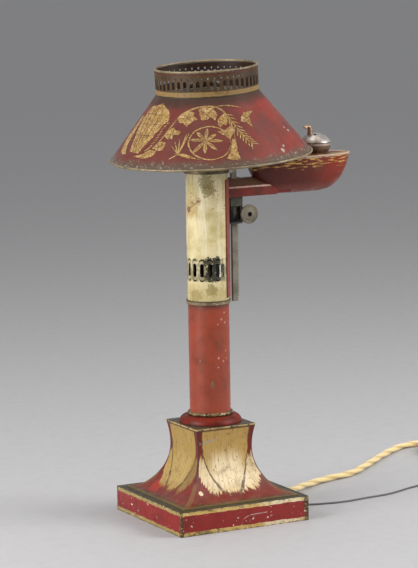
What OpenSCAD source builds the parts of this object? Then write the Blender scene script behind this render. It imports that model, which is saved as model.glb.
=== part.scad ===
// Argand oil lamp in painted sheet iron, later wired for electric light.
// The column stands at the origin, the oil arm and the reservoir lie along +X, the wick knob faces -Y.

/* [Plinth and pedestal] */
// Side of the square plinth
plinth_side = 150; // [142:1:165]
// Height of the plinth
plinth_h = 26; // [22:1:32]
// Thickness of the painted sheet iron
sheet_t = 1.2; // [0.9:0.1:1.5]
// Height of the concave pedestal
pedestal_h = 72.8; // [68:0.2:80]
// Half width of the pedestal at its narrowest
neck_half = 31.7; // [30:0.1:33]
// Height of the narrowest place above the plinth
neck_rise = 50; // [46:0.5:54]
// Radius of the pedestal's hollow curve
cove_r = 58; // [55:0.5:62]
// Radius of the curve that runs out onto the plinth
foot_r = 25; // [22:0.5:27]
// Radius of the flare under the cap
flare_r = 94; // [85:1:120]
// Thickness of the pedestal's foot flange
flange_t = 1; // [0.8:0.1:1.4]
// Side of the square cap on the pedestal
cap_side = 70; // [67:0.5:74]
// Thickness of the square cap
cap_t = 2; // [1.5:0.1:3]
// Thickness of the closing plate under the plinth
plate_t = 2; // [1.6:0.1:3]
// Side of the iron weight in the plinth
weight_side = 110; // [100:1:116]

/* [Column] */
// Outer radius of the half-round base moulding
torus_r = 33; // [30:0.5:34]
// Height of the half-round base moulding
torus_h = 8.2; // [7:0.2:10]
// Outer radius of the gilt bead on the moulding
bead_r = 24; // [23.5:0.1:26]
// Height of the gilt bead
bead_h = 3.8; // [3:0.2:4.4]
// Outer radius of the red column
column_r = 21.5; // [21:0.1:21.8]
// Height of the red column
column_h = 127.9; // [110:0.1:150]
// Outer radius of the gilt ring at the joint
ring_r = 23.2; // [22.8:0.1:24.5]
// Height of the gilt ring at the joint
ring_h = 4; // [3:0.2:6]
// Radius of the tie tube that draws the lamp together
tie_r = 5; // [4.5:0.1:5.5]
// Bore radius of the tie tube
tie_bore_r = 3.8; // [3.2:0.1:4]

/* [Burner] */
// Outer radius of the cream burner jacket
jacket_r = 21.85; // [21.7:0.05:22.4]
// Height of the burner jacket
jacket_h = 141.3; // [135:0.1:150]
// Height of the pierced band's middle above the jacket's foot
band_rise = 34.4; // [30:0.2:38]
// Number of pierced slots in a full turn
slot_count = 16; // [14:1:18]
// Width of a pierced slot
slot_w = 4.6; // [3.6:0.1:5]
// Height of a pierced slot
slot_h = 13.8; // [11:0.2:15]
// Height of the burner's floor above the jacket's foot
floor_rise = 44; // [42:0.5:50]
// Outer radius of the inner draught tube
draught_r = 13.5; // [13.2:0.1:13.6]
// Outer radius of the wick tube
wick_tube_r = 19.4; // [19:0.1:19.8]
// Wall of the burner tubes
burner_wall = 0.8; // [0.6:0.1:1]
// Thickness of the cotton wick
wick_t = 1.1; // [0.8:0.1:1.2]
// Wall of the wick carrier's sleeve
carrier_wall = 1.5; // [1.2:0.1:1.7]
// Length of the wick carrier's sleeve
carrier_len = 20; // [15:1:30]
// Depth of the open slot in the jacket's back for the lifting crank
crank_slot_depth = 9.5; // [9:0.5:10]

/* [Wick lift] */
// Gear module of rack and pinion
gear_module = 0.8; // [0.7:0.05:0.9]
// Number of pinion teeth
pinion_teeth = 12; // [11:1:13]
// Distance of the pinion's axis from the column's axis
pinion_x = 40; // [39.5:0.1:41]
// Height of the pinion's axis below the arm
pinion_drop = 17.9; // [17:0.1:19]
// Width of the rack bar
rack_w = 4; // [3.5:0.1:4.4]
// Thickness of the rack bar behind the teeth
rack_bar_t = 5.8; // [5.2:0.1:6]
// Length of the rack
rack_len = 135.3; // [126:0.1:136]
// Travel of the rack
rack_travel = 20; // [15:1:20]
// Radius of the knob disc
knob_r = 10; // [8:0.5:12]
// Thickness of the knob disc
knob_t = 3; // [2:0.2:4]
// Distance of the knob's middle in front of the column's axis
knob_reach = 18.2; // [16:0.2:24]
// Radius of the pinion shaft
shaft_r = 1.6; // [1.4:0.1:1.8]
// Thickness of a cheek of the pinion housing
cheek_t = 2.2; // [1.6:0.1:2.6]

/* [Oil arm and reservoir] */
// Distance of the arm's underside below the jacket's top
arm_drop = 33.5; // [31.5:0.1:36]
// Width of the arm
arm_w = 24; // [22:0.5:26]
// Height of the arm's upright sides
arm_side_h = 10.5; // [9:0.5:12]
// Height of the arm at its ridge
arm_h = 18.5; // [17:0.5:19.5]
// Width of the arm's ridge
ridge_w = 8; // [6:0.5:10]
// Reach of the arm from the column's axis
arm_reach = 96; // [92:1:104]
// Radius of the red saddle plate behind the jacket
saddle_r = 23.3; // [23.2:0.1:23.8]
// Angle that the saddle plate wraps around the jacket
saddle_angle = 114; // [100:2:120]
// Height of the saddle plate's foot above the jacket's foot
saddle_rise = 4.5; // [3:0.5:8]
// Distance of the reservoir's middle from the column's axis
tank_x = 108.7; // [107:0.1:112]
// Length of the reservoir
tank_len = 122.4; // [117:0.1:126]
// Beam of the reservoir
tank_beam = 52; // [49:1:58]
// Depth of the reservoir below its rim
tank_depth = 39; // [37:0.5:40]
// Thickness of the reservoir's deck
deck_t = 1.2; // [1:0.1:1.6]
// Distance of the filler from the column's axis
filler_x = 130.4; // [129:0.2:133]
// Radius of the filler bowl and its lid
filler_r = 16.7; // [16:0.1:17.5]
// Height of the filler bowl
filler_h = 11.2; // [9:0.2:13]
// Height of the lid's dome
lid_h = 9.8; // [8:0.2:12]
// Radius of the lid's hinge pin
hinge_pin_r = 0.8; // [0.6:0.1:1]

/* [Shade] */
// Radius of the shade's lower edge
shade_rim_r = 105.7; // [100:0.1:107]
// Radius of the shade's pierced collar
collar_r = 53.4; // [50:0.1:56]
// Height of the shade's cone
cone_h = 65.5; // [60:0.5:70]
// Height of the pierced collar
collar_h = 26.7; // [24:0.1:32]
// Thickness of the shade's sheet
shade_t = 0.9; // [0.8:0.1:1.2]
// Height of the shade's lower edge above the jacket
shade_rise = 10.7; // [10:0.1:14]
// Sideways lean of the shade towards the reservoir, in degrees
lean_side = 3.3; // [2.5:0.1:4]
// Lean of the shade towards the back, in degrees
lean_back = 1.4; // [0:0.1:2]
// Shift of the shade's lower edge towards the reservoir
shade_shift = 6.2; // [5:0.1:6.6]
// Number of arches in the pierced collar
arch_count = 48; // [36:2:52]
// Width of an arch in the collar
arch_w = 3.8; // [3:0.1:4.2]
// Height of an arch in the collar
arch_h = 10; // [8:0.5:12]
// Radius of the wire in the shade's edges
edge_wire_r = 1.2; // [0.9:0.1:1.5]
// Radius of the carrier's seat for the shade
seat_r = 58; // [56:0.5:60]
// Thickness of the carrier's rods
rod_r = 1.6; // [1.2:0.1:2]

/* [Electric light] */
// Radius of the lampholder
holder_r = 12; // [11.5:0.1:12.5]
// Height of the lampholder
holder_h = 42.8; // [40:0.2:46]
// Radius of the bulb's cap
bulb_cap_r = 7; // [6.5:0.1:7.2]
// Radius of the bulb's glass
bulb_r = 22; // [18:0.5:24]
// Radius of the lampholder's push bar
bar_r = 1.6; // [1.2:0.1:1.8]
// Travel of the lampholder's push bar
bar_travel = 6; // [4:0.5:7]

/* [Cords] */
// Diameter of the yellow lamp flex
flex_d = 7; // [6:0.1:7]
// Diameter of the grey earth lead
earth_d = 2; // [1.6:0.1:2]
// Length of the tapered strain relief
relief_len = 24; // [20:1:24]
// Length of the plug's pins
plug_pin_len = 19; // [15:1:20]

/* [Hidden] */
$fn = 96;
fit = 0.05;
play = 0.3;
cut = 1;
red = "#8f3329";
salmon = "#b5503c";
cream = "#d9cda0";
gilt = "#b9923f";
brass = "#9a8a5c";
iron = "#4a4744";
silver = "#b9b2a6";
cotton = "#e3dcc8";
silk = "#d8bd62";

// Heights, from the floor upwards
cap_z = plinth_h + pedestal_h;
column_z = cap_z + cap_t;
bead_z = column_z + torus_h;
jacket_z = column_z + column_h;
jacket_top = jacket_z + jacket_h;
floor_z = jacket_z + floor_rise;
arm_rise = jacket_h - arm_drop;
arm_z = jacket_z + arm_rise;
tank_z = arm_z - 0.9 + tank_depth;
deck_z = tank_z + deck_t;
lid_z = deck_z + filler_h + play;
burner_top = jacket_top - crank_slot_depth - 0.5;
draught_top = burner_top + 2;
burner_cap_t = 2;
top_nut_h = 5;
holder_z = draught_top + burner_cap_t + top_nut_h + 0.2;

// Base fittings
tie_web = 7;
tie_nut_h = 6;
recess_z = plinth_h - sheet_t - tie_web;
recess_r = 30;
tie_z = recess_z - tie_nut_h - 1;
tie_top = holder_z + 2;
screw_place = weight_side / 2 - 10;
screw_r = 1.5;
screw_head_r = 2.6;
screw_head_h = 1;
screw_len = 10;
gland_r = 5.9;
gland_flange_r = 8;
gland_flange_t = 2.5;
relief_tip_r = flex_d / 2 + 0.7;
flex_y = 22;
flex_z = 9;
earth_y = -12;
earth_z = 5;
bush_r = 2.4;
bush_flange_r = 3.5;
bush_flange_t = 1.5;
bush_len = 6;

// Gear values: stub teeth on the rack keep clear of the pinion's roots
gear_pitch = PI * gear_module;
pressure = 20;
backlash = 0.12;
rack_tip_h = 0.68 * gear_module;
rack_root_h = 1.12 * gear_module;
pinion_tip_h = 0.93 * gear_module;
pinion_root_h = 0.88 * gear_module;
pinion_r = gear_module * pinion_teeth / 2;
pinion_z = arm_z - pinion_drop;
pitch_x = pinion_x - pinion_r;
rack_root_x = pitch_x - rack_root_h;
rack_tip_x = pitch_x + rack_tip_h;
rack_back_x = rack_root_x - rack_bar_t;
crank_z = burner_top + 1;
crank_h = 4;
rack_z = crank_z - rack_len;
guide_wall = 1.2;
housing_h = 29;
housing_back_x = rack_back_x - play - guide_wall - 1.2;
housing_front_x = pinion_x - 0.3;
housing_boss_r = 4.5;
cheek_in = rack_w / 2 + 0.4;
cheek_out = cheek_in + cheek_t;
block_h = 7.5;

// Wick space
wick_r = draught_r + 0.4 + wick_t;
carrier_r = wick_r + 0.1 + carrier_wall;

// Shade values: the seat ring lies just inside the cone
cone_slope = (shade_rim_r - edge_wire_r - collar_r) / cone_h;
cone_stretch = sqrt(1 + cone_slope * cone_slope);
cone_foot_r = shade_rim_r - edge_wire_r;
cone_foot_h = edge_wire_r + 0.2;
seat_t = 1.2;
seat_w = 4;
seat_h = (cone_foot_r - (shade_t + play) * cone_stretch - seat_r) / cone_slope;
carrier_t = 1.6;
carrier_h = seat_h - seat_t - 0.1 - carrier_t;
clamp_t = 1.6;
clamp_h = 8;
shade_z = jacket_top + shade_rise;
shade_y = 1;
leg_angles = [60, 180, 300];

// Electric values
holder_wall = 1;
bar_z = holder_z + 14.8;
insert_z = holder_z + 18.8;
insert_h = 22;
socket_z = insert_z + 3;
bulb_cap_h = 21.5;
bulb_z = socket_z + 0.5 + bulb_cap_h;
bulb_neck_r = 8.5;
bulb_rise = 28;
bulb_mid_z = bulb_z + bulb_rise;
bulb_wall = 1;

// Cord routes, chosen by eye, and the coils that hold the length out of sight
flex_turns = 2.375;
flex_coil_at = [402, 116];
flex_coil_r = 52;
flex_step = flex_d + 0.6;
tie_band_t = 0.6;
flex_coil_z = flex_d / 2 + play + tie_band_t;
flex_angle = 77;
flex_floor_z = flex_d / 2 + 0.1;
relief_x = plinth_side / 2 + gland_flange_t + relief_len;
flex_points = [
    [relief_x, flex_y, flex_z], [relief_x + 9, 23, 8.6], [122, 34, 7], [138, 48, 5.2], [156, 59.5, 4],
    [176, 69, flex_floor_z], [196, 74.5, flex_floor_z], [218, 81, flex_floor_z],
    [234, 91, flex_floor_z], [250, 104, flex_floor_z], [267, 117.5, flex_floor_z],
    [283, 131, flex_floor_z], [298, 143.5, flex_floor_z], [313, 155, flex_floor_z],
    [328, 165.5, flex_floor_z], [342, 173.5, flex_floor_z], [356, 178, flex_floor_z],
    [371, 177.5, flex_floor_z], [387, 173, 3.9]
];
earth_turns = 6;
earth_coil_at = [280, -15];
earth_coil_r = 20;
earth_step = earth_d + 0.5;
earth_band_t = 0.4;
earth_coil_z = earth_d / 2 + play + earth_band_t;
earth_angle = 107.6;
earth_floor_z = earth_d / 2 + 0.1;
earth_x = plinth_side / 2 + bush_flange_t + bush_len;
earth_points = [
    [earth_x, earth_y, earth_z], [earth_x + 5, -12.3, 4.6], [94, -14.4, 2.8], [102, -17, 1.5],
    [112, -19.6, earth_floor_z], [124, -22.8, earth_floor_z], [138, -25.4, earth_floor_z],
    [154, -25.8, earth_floor_z], [170, -23.6, earth_floor_z], [186, -22.2, earth_floor_z],
    [204, -20.4, earth_floor_z], [220, -15.6, earth_floor_z], [237, -8.4, earth_floor_z],
    [254, -2.8, earth_floor_z], [264, 0.6, 1.3]
];
inner_points = [
    [plinth_side / 2 - 6, flex_y, flex_z], [58, flex_y, 8], [46, flex_y, 6.5], [34, 21.5, 5.4],
    [24, 18, 4.9], [14, 10, 4.9], [6, 3, 6], [2, 0.6, 9.5], [0.3, 0, 15], [0, 0, 26],
    [0, 0, 60], [0, 0, 120], [0, 0, 180], [0, 0, 240], [0, 0, 300], [0, 0, tie_top + 4]
];
inner_flex_r = 2;
cord_sides = 8;
coil_sides = 6;
coil_rings = 24;
tail_bend = 5;
tail_turn = 36;

// Functions for cords: a smooth line through the route's points, and a coil of two layers
function unit(v) = v / norm(v);

function between(a, b, c, d, t) =
    0.5 * (2 * b + (c - a) * t + (2 * a - 5 * b + 4 * c - d) * t * t + (3 * b - a - 3 * c + d) * t * t * t);

function smooth(points, steps) = let (last = len(points) - 1) [
    for (i = [0:last - 1], k = [0:steps - 1])
        between(points[max(i - 1, 0)], points[i], points[i + 1], points[min(i + 2, last)], k / steps),
    points[last]
];

function coil_radius(t, r, step, turns) =
    t <= turns ? r - step * t
    : t <= turns + 0.25 ? r - step * t
    : t <= turns + 0.5 ? r - step * (2 * turns + 0.5 - t)
    : r - step * (2 * turns + 0.5 - t);

function coil_height(t, z, step, turns) = z + step * min(max(2 * (t - turns), 0), 1);

function coil_heading(angle) = [sin(angle), -cos(angle), 0];

function coil_turn(t, at, z, r, step, turns, angle) =
    let (a = angle - 360 * t, radius = coil_radius(t, r, step, turns))
    [at[0] + radius * cos(a), at[1] + radius * sin(a), coil_height(t, z, step, turns)];

// The tail leaves the last turn and bends away from the coil by tail_turn degrees
function coil_points(at, z, r, step, turns, angle, d) =
    let (
        all = 2 * turns + 0.5,
        end = angle - 360 * all,
        bend = tail_bend * d,
        middle = coil_turn(all, at, z, r, step, turns, angle) + bend * coil_heading(end + 90),
        tail = [for (a = [tail_turn / 4:tail_turn / 4:tail_turn]) middle - bend * coil_heading(end + a + 90)]
    )
    concat(
        [coil_turn(0, at, z, r, step, turns, angle) - d * coil_heading(angle)],
        [for (i = [0:coil_rings * all]) coil_turn(i / coil_rings, at, z, r, step, turns, angle)],
        tail,
        [tail[3] + d * coil_heading(end + tail_turn)]
    );

function least_gap(points, d) = min([
    for (i = [0:len(points) - 1], j = [i + coil_rings / 2:len(points) - 1]) if (j < len(points))
        norm(points[i] - points[j])
]) - d;

flex_coil_points =
    coil_points(flex_coil_at, flex_coil_z, flex_coil_r, flex_step, flex_turns, flex_angle, flex_d);
earth_coil_points =
    coil_points(earth_coil_at, earth_coil_z, earth_coil_r, earth_step, earth_turns, earth_angle, earth_d);
flex_end_angle = flex_angle - 360 * (2 * flex_turns + 0.5) + tail_turn;
earth_end_angle = earth_angle - 360 * (2 * earth_turns + 0.5) + tail_turn;
flex_end = flex_coil_points[len(flex_coil_points) - 1];
earth_end = earth_coil_points[len(earth_coil_points) - 1];
flex_meet = flex_coil_points[0];
earth_meet = earth_coil_points[0];
flex_route = concat(flex_points, [flex_meet - flex_d * coil_heading(flex_angle), flex_meet]);
earth_route = concat(earth_points, [earth_meet - earth_d * coil_heading(earth_angle), earth_meet]);
echo(flex_coil_least_gap = least_gap(flex_coil_points, flex_d));
echo(earth_coil_least_gap = least_gap(earth_coil_points, earth_d));

// General shapes
module tube(r, wall, h) {
    difference() {
        cylinder(r = r, h = h);
        translate([0, 0, -cut]) cylinder(r = r - wall, h = h + 2 * cut);
    }
}

module block(low, high) {
    translate(low) cube(high - low);
}

module rod(from, to, r) {
    way = to - from;
    length = norm(way);
    translate(from) rotate([0, acos(way[2] / length), atan2(way[1], way[0])]) cylinder(r = r, h = length);
}

module along_x(x, y, z) {
    translate([x, y, z]) rotate([0, 90, 0]) children();
}

module along_y(x, y, z) {
    translate([x, y, z]) rotate([90, 0, 0]) children();
}

module swept(points, r, sides, aside) {
    last = len(points) - 1;
    ways = [for (i = [0:last]) unit(points[min(i + 1, last)] - points[max(i - 1, 0)])];
    rings = [
        for (i = [0:last])
            let (u = unit(cross(aside, ways[i])), v = cross(ways[i], u))
            for (j = [0:sides - 1]) points[i] + r * (cos(360 * j / sides) * u + sin(360 * j / sides) * v)
    ];
    walls = [
        for (i = [0:last - 1], j = [0:sides - 1])
            let (a = i * sides + j, b = i * sides + (j + 1) % sides)
            each [[a, a + sides, b + sides], [a, b + sides, b]]
    ];
    start = [for (j = [1:sides - 2]) [0, j, j + 1]];
    end = [for (j = [1:sides - 2]) [last * sides, last * sides + j + 1, last * sides + j]];
    polyhedron(points = rings, faces = concat(walls, start, end));
}

module band(at, angle, low, high, thick) {
    wide = 6 * thick + 2;
    translate([at[0], at[1], 0]) rotate([0, 0, angle]) difference() {
        block([low[0] - thick, -wide / 2, low[1] - thick], [high[0] + thick, wide / 2, high[1] + thick]);
        block([low[0], -wide, low[1]], [high[0], wide, high[1]]);
    }
}

// Plinth
module plinth_shell() {
    half = plinth_side / 2;
    inner = half - sheet_t;
    color(red) difference() {
        block([-half, -half, 0], [half, half, plinth_h]);
        block([-inner, -inner, -cut], [inner, inner, plinth_h - sheet_t]);
        translate([0, 0, plinth_h - sheet_t - cut]) cylinder(r = tie_r + fit, h = sheet_t + 2 * cut);
        along_x(inner - cut, flex_y, flex_z) cylinder(r = gland_r + fit, h = sheet_t + 2 * cut);
        along_x(inner - cut, earth_y, earth_z) cylinder(r = bush_r + fit, h = sheet_t + 2 * cut);
    }
}

module at_screws() {
    for (x = [-1, 1], y = [-1, 1]) translate([x * screw_place, y * screw_place, 0]) children();
}

module bottom_plate() {
    half = plinth_side / 2 - sheet_t - fit;
    color(iron) difference() {
        block([-half, -half, 0], [half, half, plate_t]);
        at_screws() translate([0, 0, -cut]) cylinder(r = screw_r + fit, h = plate_t + 2 * cut);
        at_screws() translate([0, 0, -cut]) cylinder(r = screw_head_r + fit, h = cut + 0.2 + screw_head_h);
    }
}

module bottom_screws() {
    color(brass) at_screws() {
        translate([0, 0, 0.2]) cylinder(r = screw_head_r, h = screw_head_h);
        translate([0, 0, 0.2]) cylinder(r = screw_r, h = screw_len);
    }
}

module base_weight() {
    half = weight_side / 2;
    color(iron) difference() {
        block([-half, -half, plate_t], [half, half, plinth_h - sheet_t]);
        translate([0, 0, plate_t - cut]) cylinder(r = recess_r, h = recess_z - plate_t + cut);
        cylinder(r = tie_r + fit, h = plinth_h);
        block([0, flex_y - 7, plate_t - cut], [half + cut, flex_y + 7, flex_z + 5]);
        at_screws() translate([0, 0, plate_t - cut]) cylinder(r = screw_r + fit, h = screw_len);
    }
}

// Pedestal: two concave prisms that cross at right angles
cove_x = neck_half + cove_r;
foot_z = flange_t + foot_r;
curve_gap = cove_r - foot_r;
foot_x = cove_x - sqrt(curve_gap * curve_gap - (neck_rise - foot_z) * (neck_rise - foot_z));
join_z = neck_rise + cove_r / curve_gap * (foot_z - neck_rise);

// Half width of the pedestal at a height above the plinth
function curve_x(middle_x, r, rise) = middle_x - sqrt(r * r - rise * rise);

function pedestal_half(z) =
    z > neck_rise ? curve_x(neck_half + flare_r, flare_r, z - neck_rise)
    : z > join_z ? curve_x(cove_x, cove_r, z - neck_rise)
    : curve_x(foot_x, foot_r, z - foot_z);

module hollow_curve(middle_x, middle_z, r, low, high) {
    intersection() {
        translate([middle_x, middle_z]) circle(r = r, $fn = 180);
        translate([0, low]) square([2 * plinth_side, high - low]);
    }
}

// The run-out onto the plinth is a row of narrow flats
module foot_curve() {
    flats = 9;
    start = acos((foot_z - join_z) / foot_r);
    join_x = pedestal_half(join_z);
    run = [
        for (i = [0:flats]) let (a = start * (1 - i / flats))
            [foot_x - foot_r * sin(a), foot_z - foot_r * cos(a)]
    ];
    far = 2 * plinth_side;
    polygon(concat(run, [[far, flange_t], [far, join_z + 2 * cut], [join_x + 3 * cut, join_z + 2 * cut]]));
}

module pedestal_outline() {
    difference() {
        square([foot_x, pedestal_h]);
        hollow_curve(neck_half + flare_r, neck_rise, flare_r, neck_rise, pedestal_h + cut);
        hollow_curve(cove_x, neck_rise, cove_r, join_z, neck_rise + 2 * cut);
        foot_curve();
    }
}

module pedestal_inside() {
    room = 1.7 * sheet_t;
    steps = [0.1, 0.16, 0.24, 0.36, 0.52, 0.72, 1];
    heights = concat(
        [1.3 * flange_t + sheet_t], steps * neck_rise, [(neck_rise + pedestal_h) / 2, pedestal_h]
    );
    side = [for (z = heights) [pedestal_half(z) - room, z == pedestal_h ? z + cut : z]];
    polygon(concat([[0, -cut], [side[0][0], -cut]], side, [[0, pedestal_h + cut]]));
}

module crossed() {
    intersection_for (turn = [0, 90]) {
        rotate([90, 0, turn]) linear_extrude(height = 2 * plinth_side, center = true) {
            children();
            mirror([1, 0]) children();
        }
    }
}

module pedestal_shell() {
    color(gilt) translate([0, 0, plinth_h]) difference() {
        crossed() pedestal_outline();
        crossed() pedestal_inside();
    }
}

module pedestal_cap() {
    half = cap_side / 2;
    color(gilt) difference() {
        block([-half, -half, cap_z], [half, half, column_z]);
        translate([0, 0, cap_z - cut]) cylinder(r = tie_r + fit, h = cap_t + 2 * cut);
    }
}

// Column
module torus_ring() {
    bore = column_r + fit;
    swell = torus_h;
    color(salmon) translate([0, 0, column_z]) rotate_extrude() intersection() {
        translate([bore, 0]) square([torus_r - bore, torus_h]);
        union() {
            translate([torus_r - swell, 0]) circle(r = swell);
            square([torus_r - swell, torus_h]);
        }
    }
}

module torus_bead() {
    bore = column_r + fit;
    color(gilt) translate([0, 0, bead_z]) rotate_extrude() intersection() {
        translate([bore, 0]) square([bead_r, bead_h]);
        union() {
            translate([bead_r - bead_h / 2, bead_h / 2]) circle(r = bead_h / 2);
            translate([bore, 0]) square([bead_r - bead_h / 2 - bore, bead_h]);
        }
    }
}

module column_tube() {
    color(salmon) translate([0, 0, column_z]) tube(column_r, sheet_t, column_h);
}

module column_collar() {
    bore = max(column_r, jacket_r) + fit;
    color(gilt) translate([0, 0, jacket_z - ring_h / 2]) tube(ring_r, ring_r - bore, ring_h);
}

module tie_tube() {
    color(brass) translate([0, 0, tie_z]) tube(tie_r, tie_r - tie_bore_r, tie_top - tie_z);
}

module hex_nut(z, across, h) {
    translate([0, 0, z]) difference() {
        cylinder(r = across, h = h, $fn = 6);
        translate([0, 0, -cut]) cylinder(r = tie_r + fit, h = h + 2 * cut);
    }
}

module tie_nuts() {
    color(brass) {
        hex_nut(recess_z - tie_nut_h, 1.8 * tie_r, tie_nut_h);
        hex_nut(draught_top + burner_cap_t, 1.7 * tie_r, top_nut_h);
    }
}

// Burner
module slot_outline() {
    square([slot_w, slot_h - slot_w], center = true);
    for (s = [-1, 1]) {
        translate([0, s * (slot_h - slot_w) / 2]) circle(r = slot_w / 2);
        difference() {
            translate([0, s * (slot_h / 2 + 2.2)]) circle(r = 0.62 * slot_w);
            translate([0, s * (slot_h / 2 + 0.6)]) circle(r = 0.62 * slot_w);
        }
    }
}

module burner_jacket() {
    step = 360 / slot_count;
    free = saddle_angle / 2 + step / 2;
    color(cream) difference() {
        translate([0, 0, jacket_z]) tube(jacket_r, sheet_t, jacket_h);
        for (a = [free:step:360 - free])
            rotate([0, 0, a]) translate([jacket_r - 2 * sheet_t, 0, jacket_z + band_rise]) rotate([90, 0, 90])
                linear_extrude(height = 2 * sheet_t + cut) slot_outline();
        block([0, -3, jacket_top - crank_slot_depth], [jacket_r + cut, 3, jacket_top + cut]);
    }
}

module burner_floor() {
    outer = jacket_r - sheet_t - fit;
    color(brass) translate([0, 0, floor_z]) tube(outer, outer - draught_r - fit, sheet_t);
}

module draught_tube() {
    foot = floor_z - 2;
    color(brass) translate([0, 0, foot]) tube(draught_r, burner_wall, draught_top - foot);
}

module wick_tube() {
    foot = floor_z + sheet_t;
    color(brass) translate([0, 0, foot]) tube(wick_tube_r, burner_wall, burner_top - foot);
}

module burner_cap() {
    edge = draught_r - 0.1;
    color(brass) translate([0, 0, draught_top]) tube(edge, edge - tie_r - fit, burner_cap_t);
}

module wick() {
    foot = crank_z - 3 * carrier_len;
    color(cotton) translate([0, 0, foot]) tube(wick_r, wick_t, crank_z - foot);
}

module wick_carrier() {
    color(brass) translate([0, 0, crank_z - carrier_len]) tube(carrier_r, carrier_wall, carrier_len);
}

// Wick lift
module lift_crank() {
    half = rack_w / 2;
    color(silver) block([wick_r + 0.2, -half, crank_z], [rack_root_x, half, crank_z + crank_h]);
}

function rack_tooth(z) =
    let (
        pitch_half = gear_pitch / 4 - backlash / 2,
        tip_half = pitch_half - rack_tip_h * tan(pressure),
        root_half = pitch_half + rack_root_h * tan(pressure)
    )
    [
        [rack_root_x, z - root_half], [rack_tip_x, z - tip_half],
        [rack_tip_x, z + tip_half], [rack_root_x, z + root_half]
    ];

module rack() {
    below = floor((pinion_z - rack_z) / gear_pitch - 1);
    teeth = [for (k = [-below:2]) each rack_tooth(pinion_z + (k + 0.5) * gear_pitch)];
    foot = [[rack_back_x, rack_z], [rack_root_x, rack_z]];
    head = [[rack_root_x, crank_z], [rack_back_x, crank_z]];
    color(brass) translate([0, rack_w / 2, 0]) rotate([90, 0, 0])
        linear_extrude(height = rack_w) polygon(concat(foot, teeth, head));
}

module rack_guide() {
    low = [rack_back_x - play - guide_wall, -rack_w / 2 - play - guide_wall, arm_z];
    high = [rack_tip_x + play + guide_wall, rack_w / 2 + play + guide_wall, arm_z + arm_h + cut];
    color(brass) difference() {
        block(low, high);
        block(low + [guide_wall, guide_wall, -cut], high + [-guide_wall, -guide_wall, cut]);
    }
}

function involute(angle) = tan(angle) - angle * PI / 180;

function tooth_half_angle(r) =
    ((gear_pitch / 2 - backlash) / 2 / pinion_r + involute(pressure)
        - involute(acos(pinion_r * cos(pressure) / r))) * 180 / PI;

module pinion_outline() {
    base = pinion_r * cos(pressure);
    tip = pinion_r + pinion_tip_h;
    root = pinion_r - pinion_root_h;
    flank = [for (i = [0:4]) let (r = base + (tip - base) * i / 4) [r, tooth_half_angle(r)]];
    side = concat([[0.8 * root, flank[0][1]]], flank);
    circle(r = root);
    for (k = [0:pinion_teeth - 1]) rotate(180 + k * 360 / pinion_teeth) polygon(concat(
        [for (p = side) p[0] * [cos(p[1]), -sin(p[1])]],
        [for (i = [len(side) - 1:-1:0]) side[i][0] * [cos(side[i][1]), sin(side[i][1])]]
    ));
}

module pinion() {
    end = cheek_out + 2;
    front = knob_reach + knob_t / 2 - 1.2;
    color(brass) {
        along_y(pinion_x, rack_w / 2, pinion_z) linear_extrude(height = rack_w) pinion_outline();
        along_y(pinion_x, end, pinion_z) cylinder(r = shaft_r, h = end + front);
    }
}

module knob() {
    front = knob_reach + knob_t / 2;
    hub = cheek_out + 2;
    color(brass) difference() {
        union() {
            along_y(pinion_x, -front + knob_t, pinion_z) cylinder(r = knob_r, h = knob_t);
            along_y(pinion_x, -hub, pinion_z) cylinder(r = 2 * shaft_r, h = front - hub - cut);
        }
        along_y(pinion_x, 0, pinion_z) cylinder(r = shaft_r + fit / 2, h = front + cut);
    }
}

module pinion_housing() {
    foot = arm_z - housing_h;
    window_x = rack_tip_x + 0.5;
    room_x = rack_back_x - play;
    color(brass) difference() {
        union() {
            block([housing_back_x, -cheek_out, foot], [housing_front_x, cheek_out, arm_z]);
            along_y(pinion_x, cheek_out, pinion_z) cylinder(r = housing_boss_r, h = 2 * cheek_out);
        }
        block([room_x, -cheek_in, foot - cut], [pinion_x + 2 * housing_boss_r, cheek_in, arm_z - block_h]);
        block([room_x, -cheek_in, foot - cut], [rack_tip_x + play, cheek_in, arm_z + cut]);
        block([rack_back_x, -cheek_out - cut, foot + 3.6], [window_x, -cheek_in + cut, arm_z - block_h - 3]);
        along_y(pinion_x, cheek_out + cut, pinion_z) cylinder(r = shaft_r + fit, h = 2 * (cheek_out + cut));
    }
}

// Oil arm and reservoir
module oil_saddle() {
    foot = jacket_z + saddle_rise;
    half = saddle_angle / 2;
    far = 2 * saddle_r;
    wedge = [[0, 0], far * [cos(half), -sin(half)], [far, -far], [far, far], far * [cos(half), sin(half)]];
    color(red) translate([0, 0, foot]) intersection() {
        tube(saddle_r, saddle_r - jacket_r - 0.25, arm_z + arm_h + 1 - foot);
        linear_extrude(height = jacket_h) polygon(wedge);
    }
}

module arm_solid(room) {
    half = arm_w / 2 + room;
    ridge = ridge_w / 2 + room;
    outline = [
        [-half, arm_z - room], [half, arm_z - room], [half, arm_z + arm_side_h + room / 2],
        [ridge, arm_z + arm_h + room], [-ridge, arm_z + arm_h + room], [-half, arm_z + arm_side_h + room / 2]
    ];
    rotate([90, 0, 90]) linear_extrude(height = arm_reach + max(room, 2 * room)) polygon(outline);
}

module supply_arm() {
    hole_x = rack_back_x - play - guide_wall - fit;
    hole_end = rack_tip_x + play + guide_wall + fit;
    hole_y = rack_w / 2 + play + guide_wall + fit;
    color(red) difference() {
        arm_solid(0);
        arm_solid(-sheet_t);
        cylinder(r = saddle_r + fit, h = 2 * jacket_top);
        block([hole_x, -hole_y, arm_z - cut], [hole_end, hole_y, arm_z + arm_h + 2 * cut]);
    }
}

// The reservoir's plan is an ellipse, its keel nearly straight with upright ends
function half_beam(u, beam) = beam / 2 * sqrt(max(1 - u * u, 0));

function keel_depth(u, depth) = depth * (1 - pow(abs(u), 5));

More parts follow.
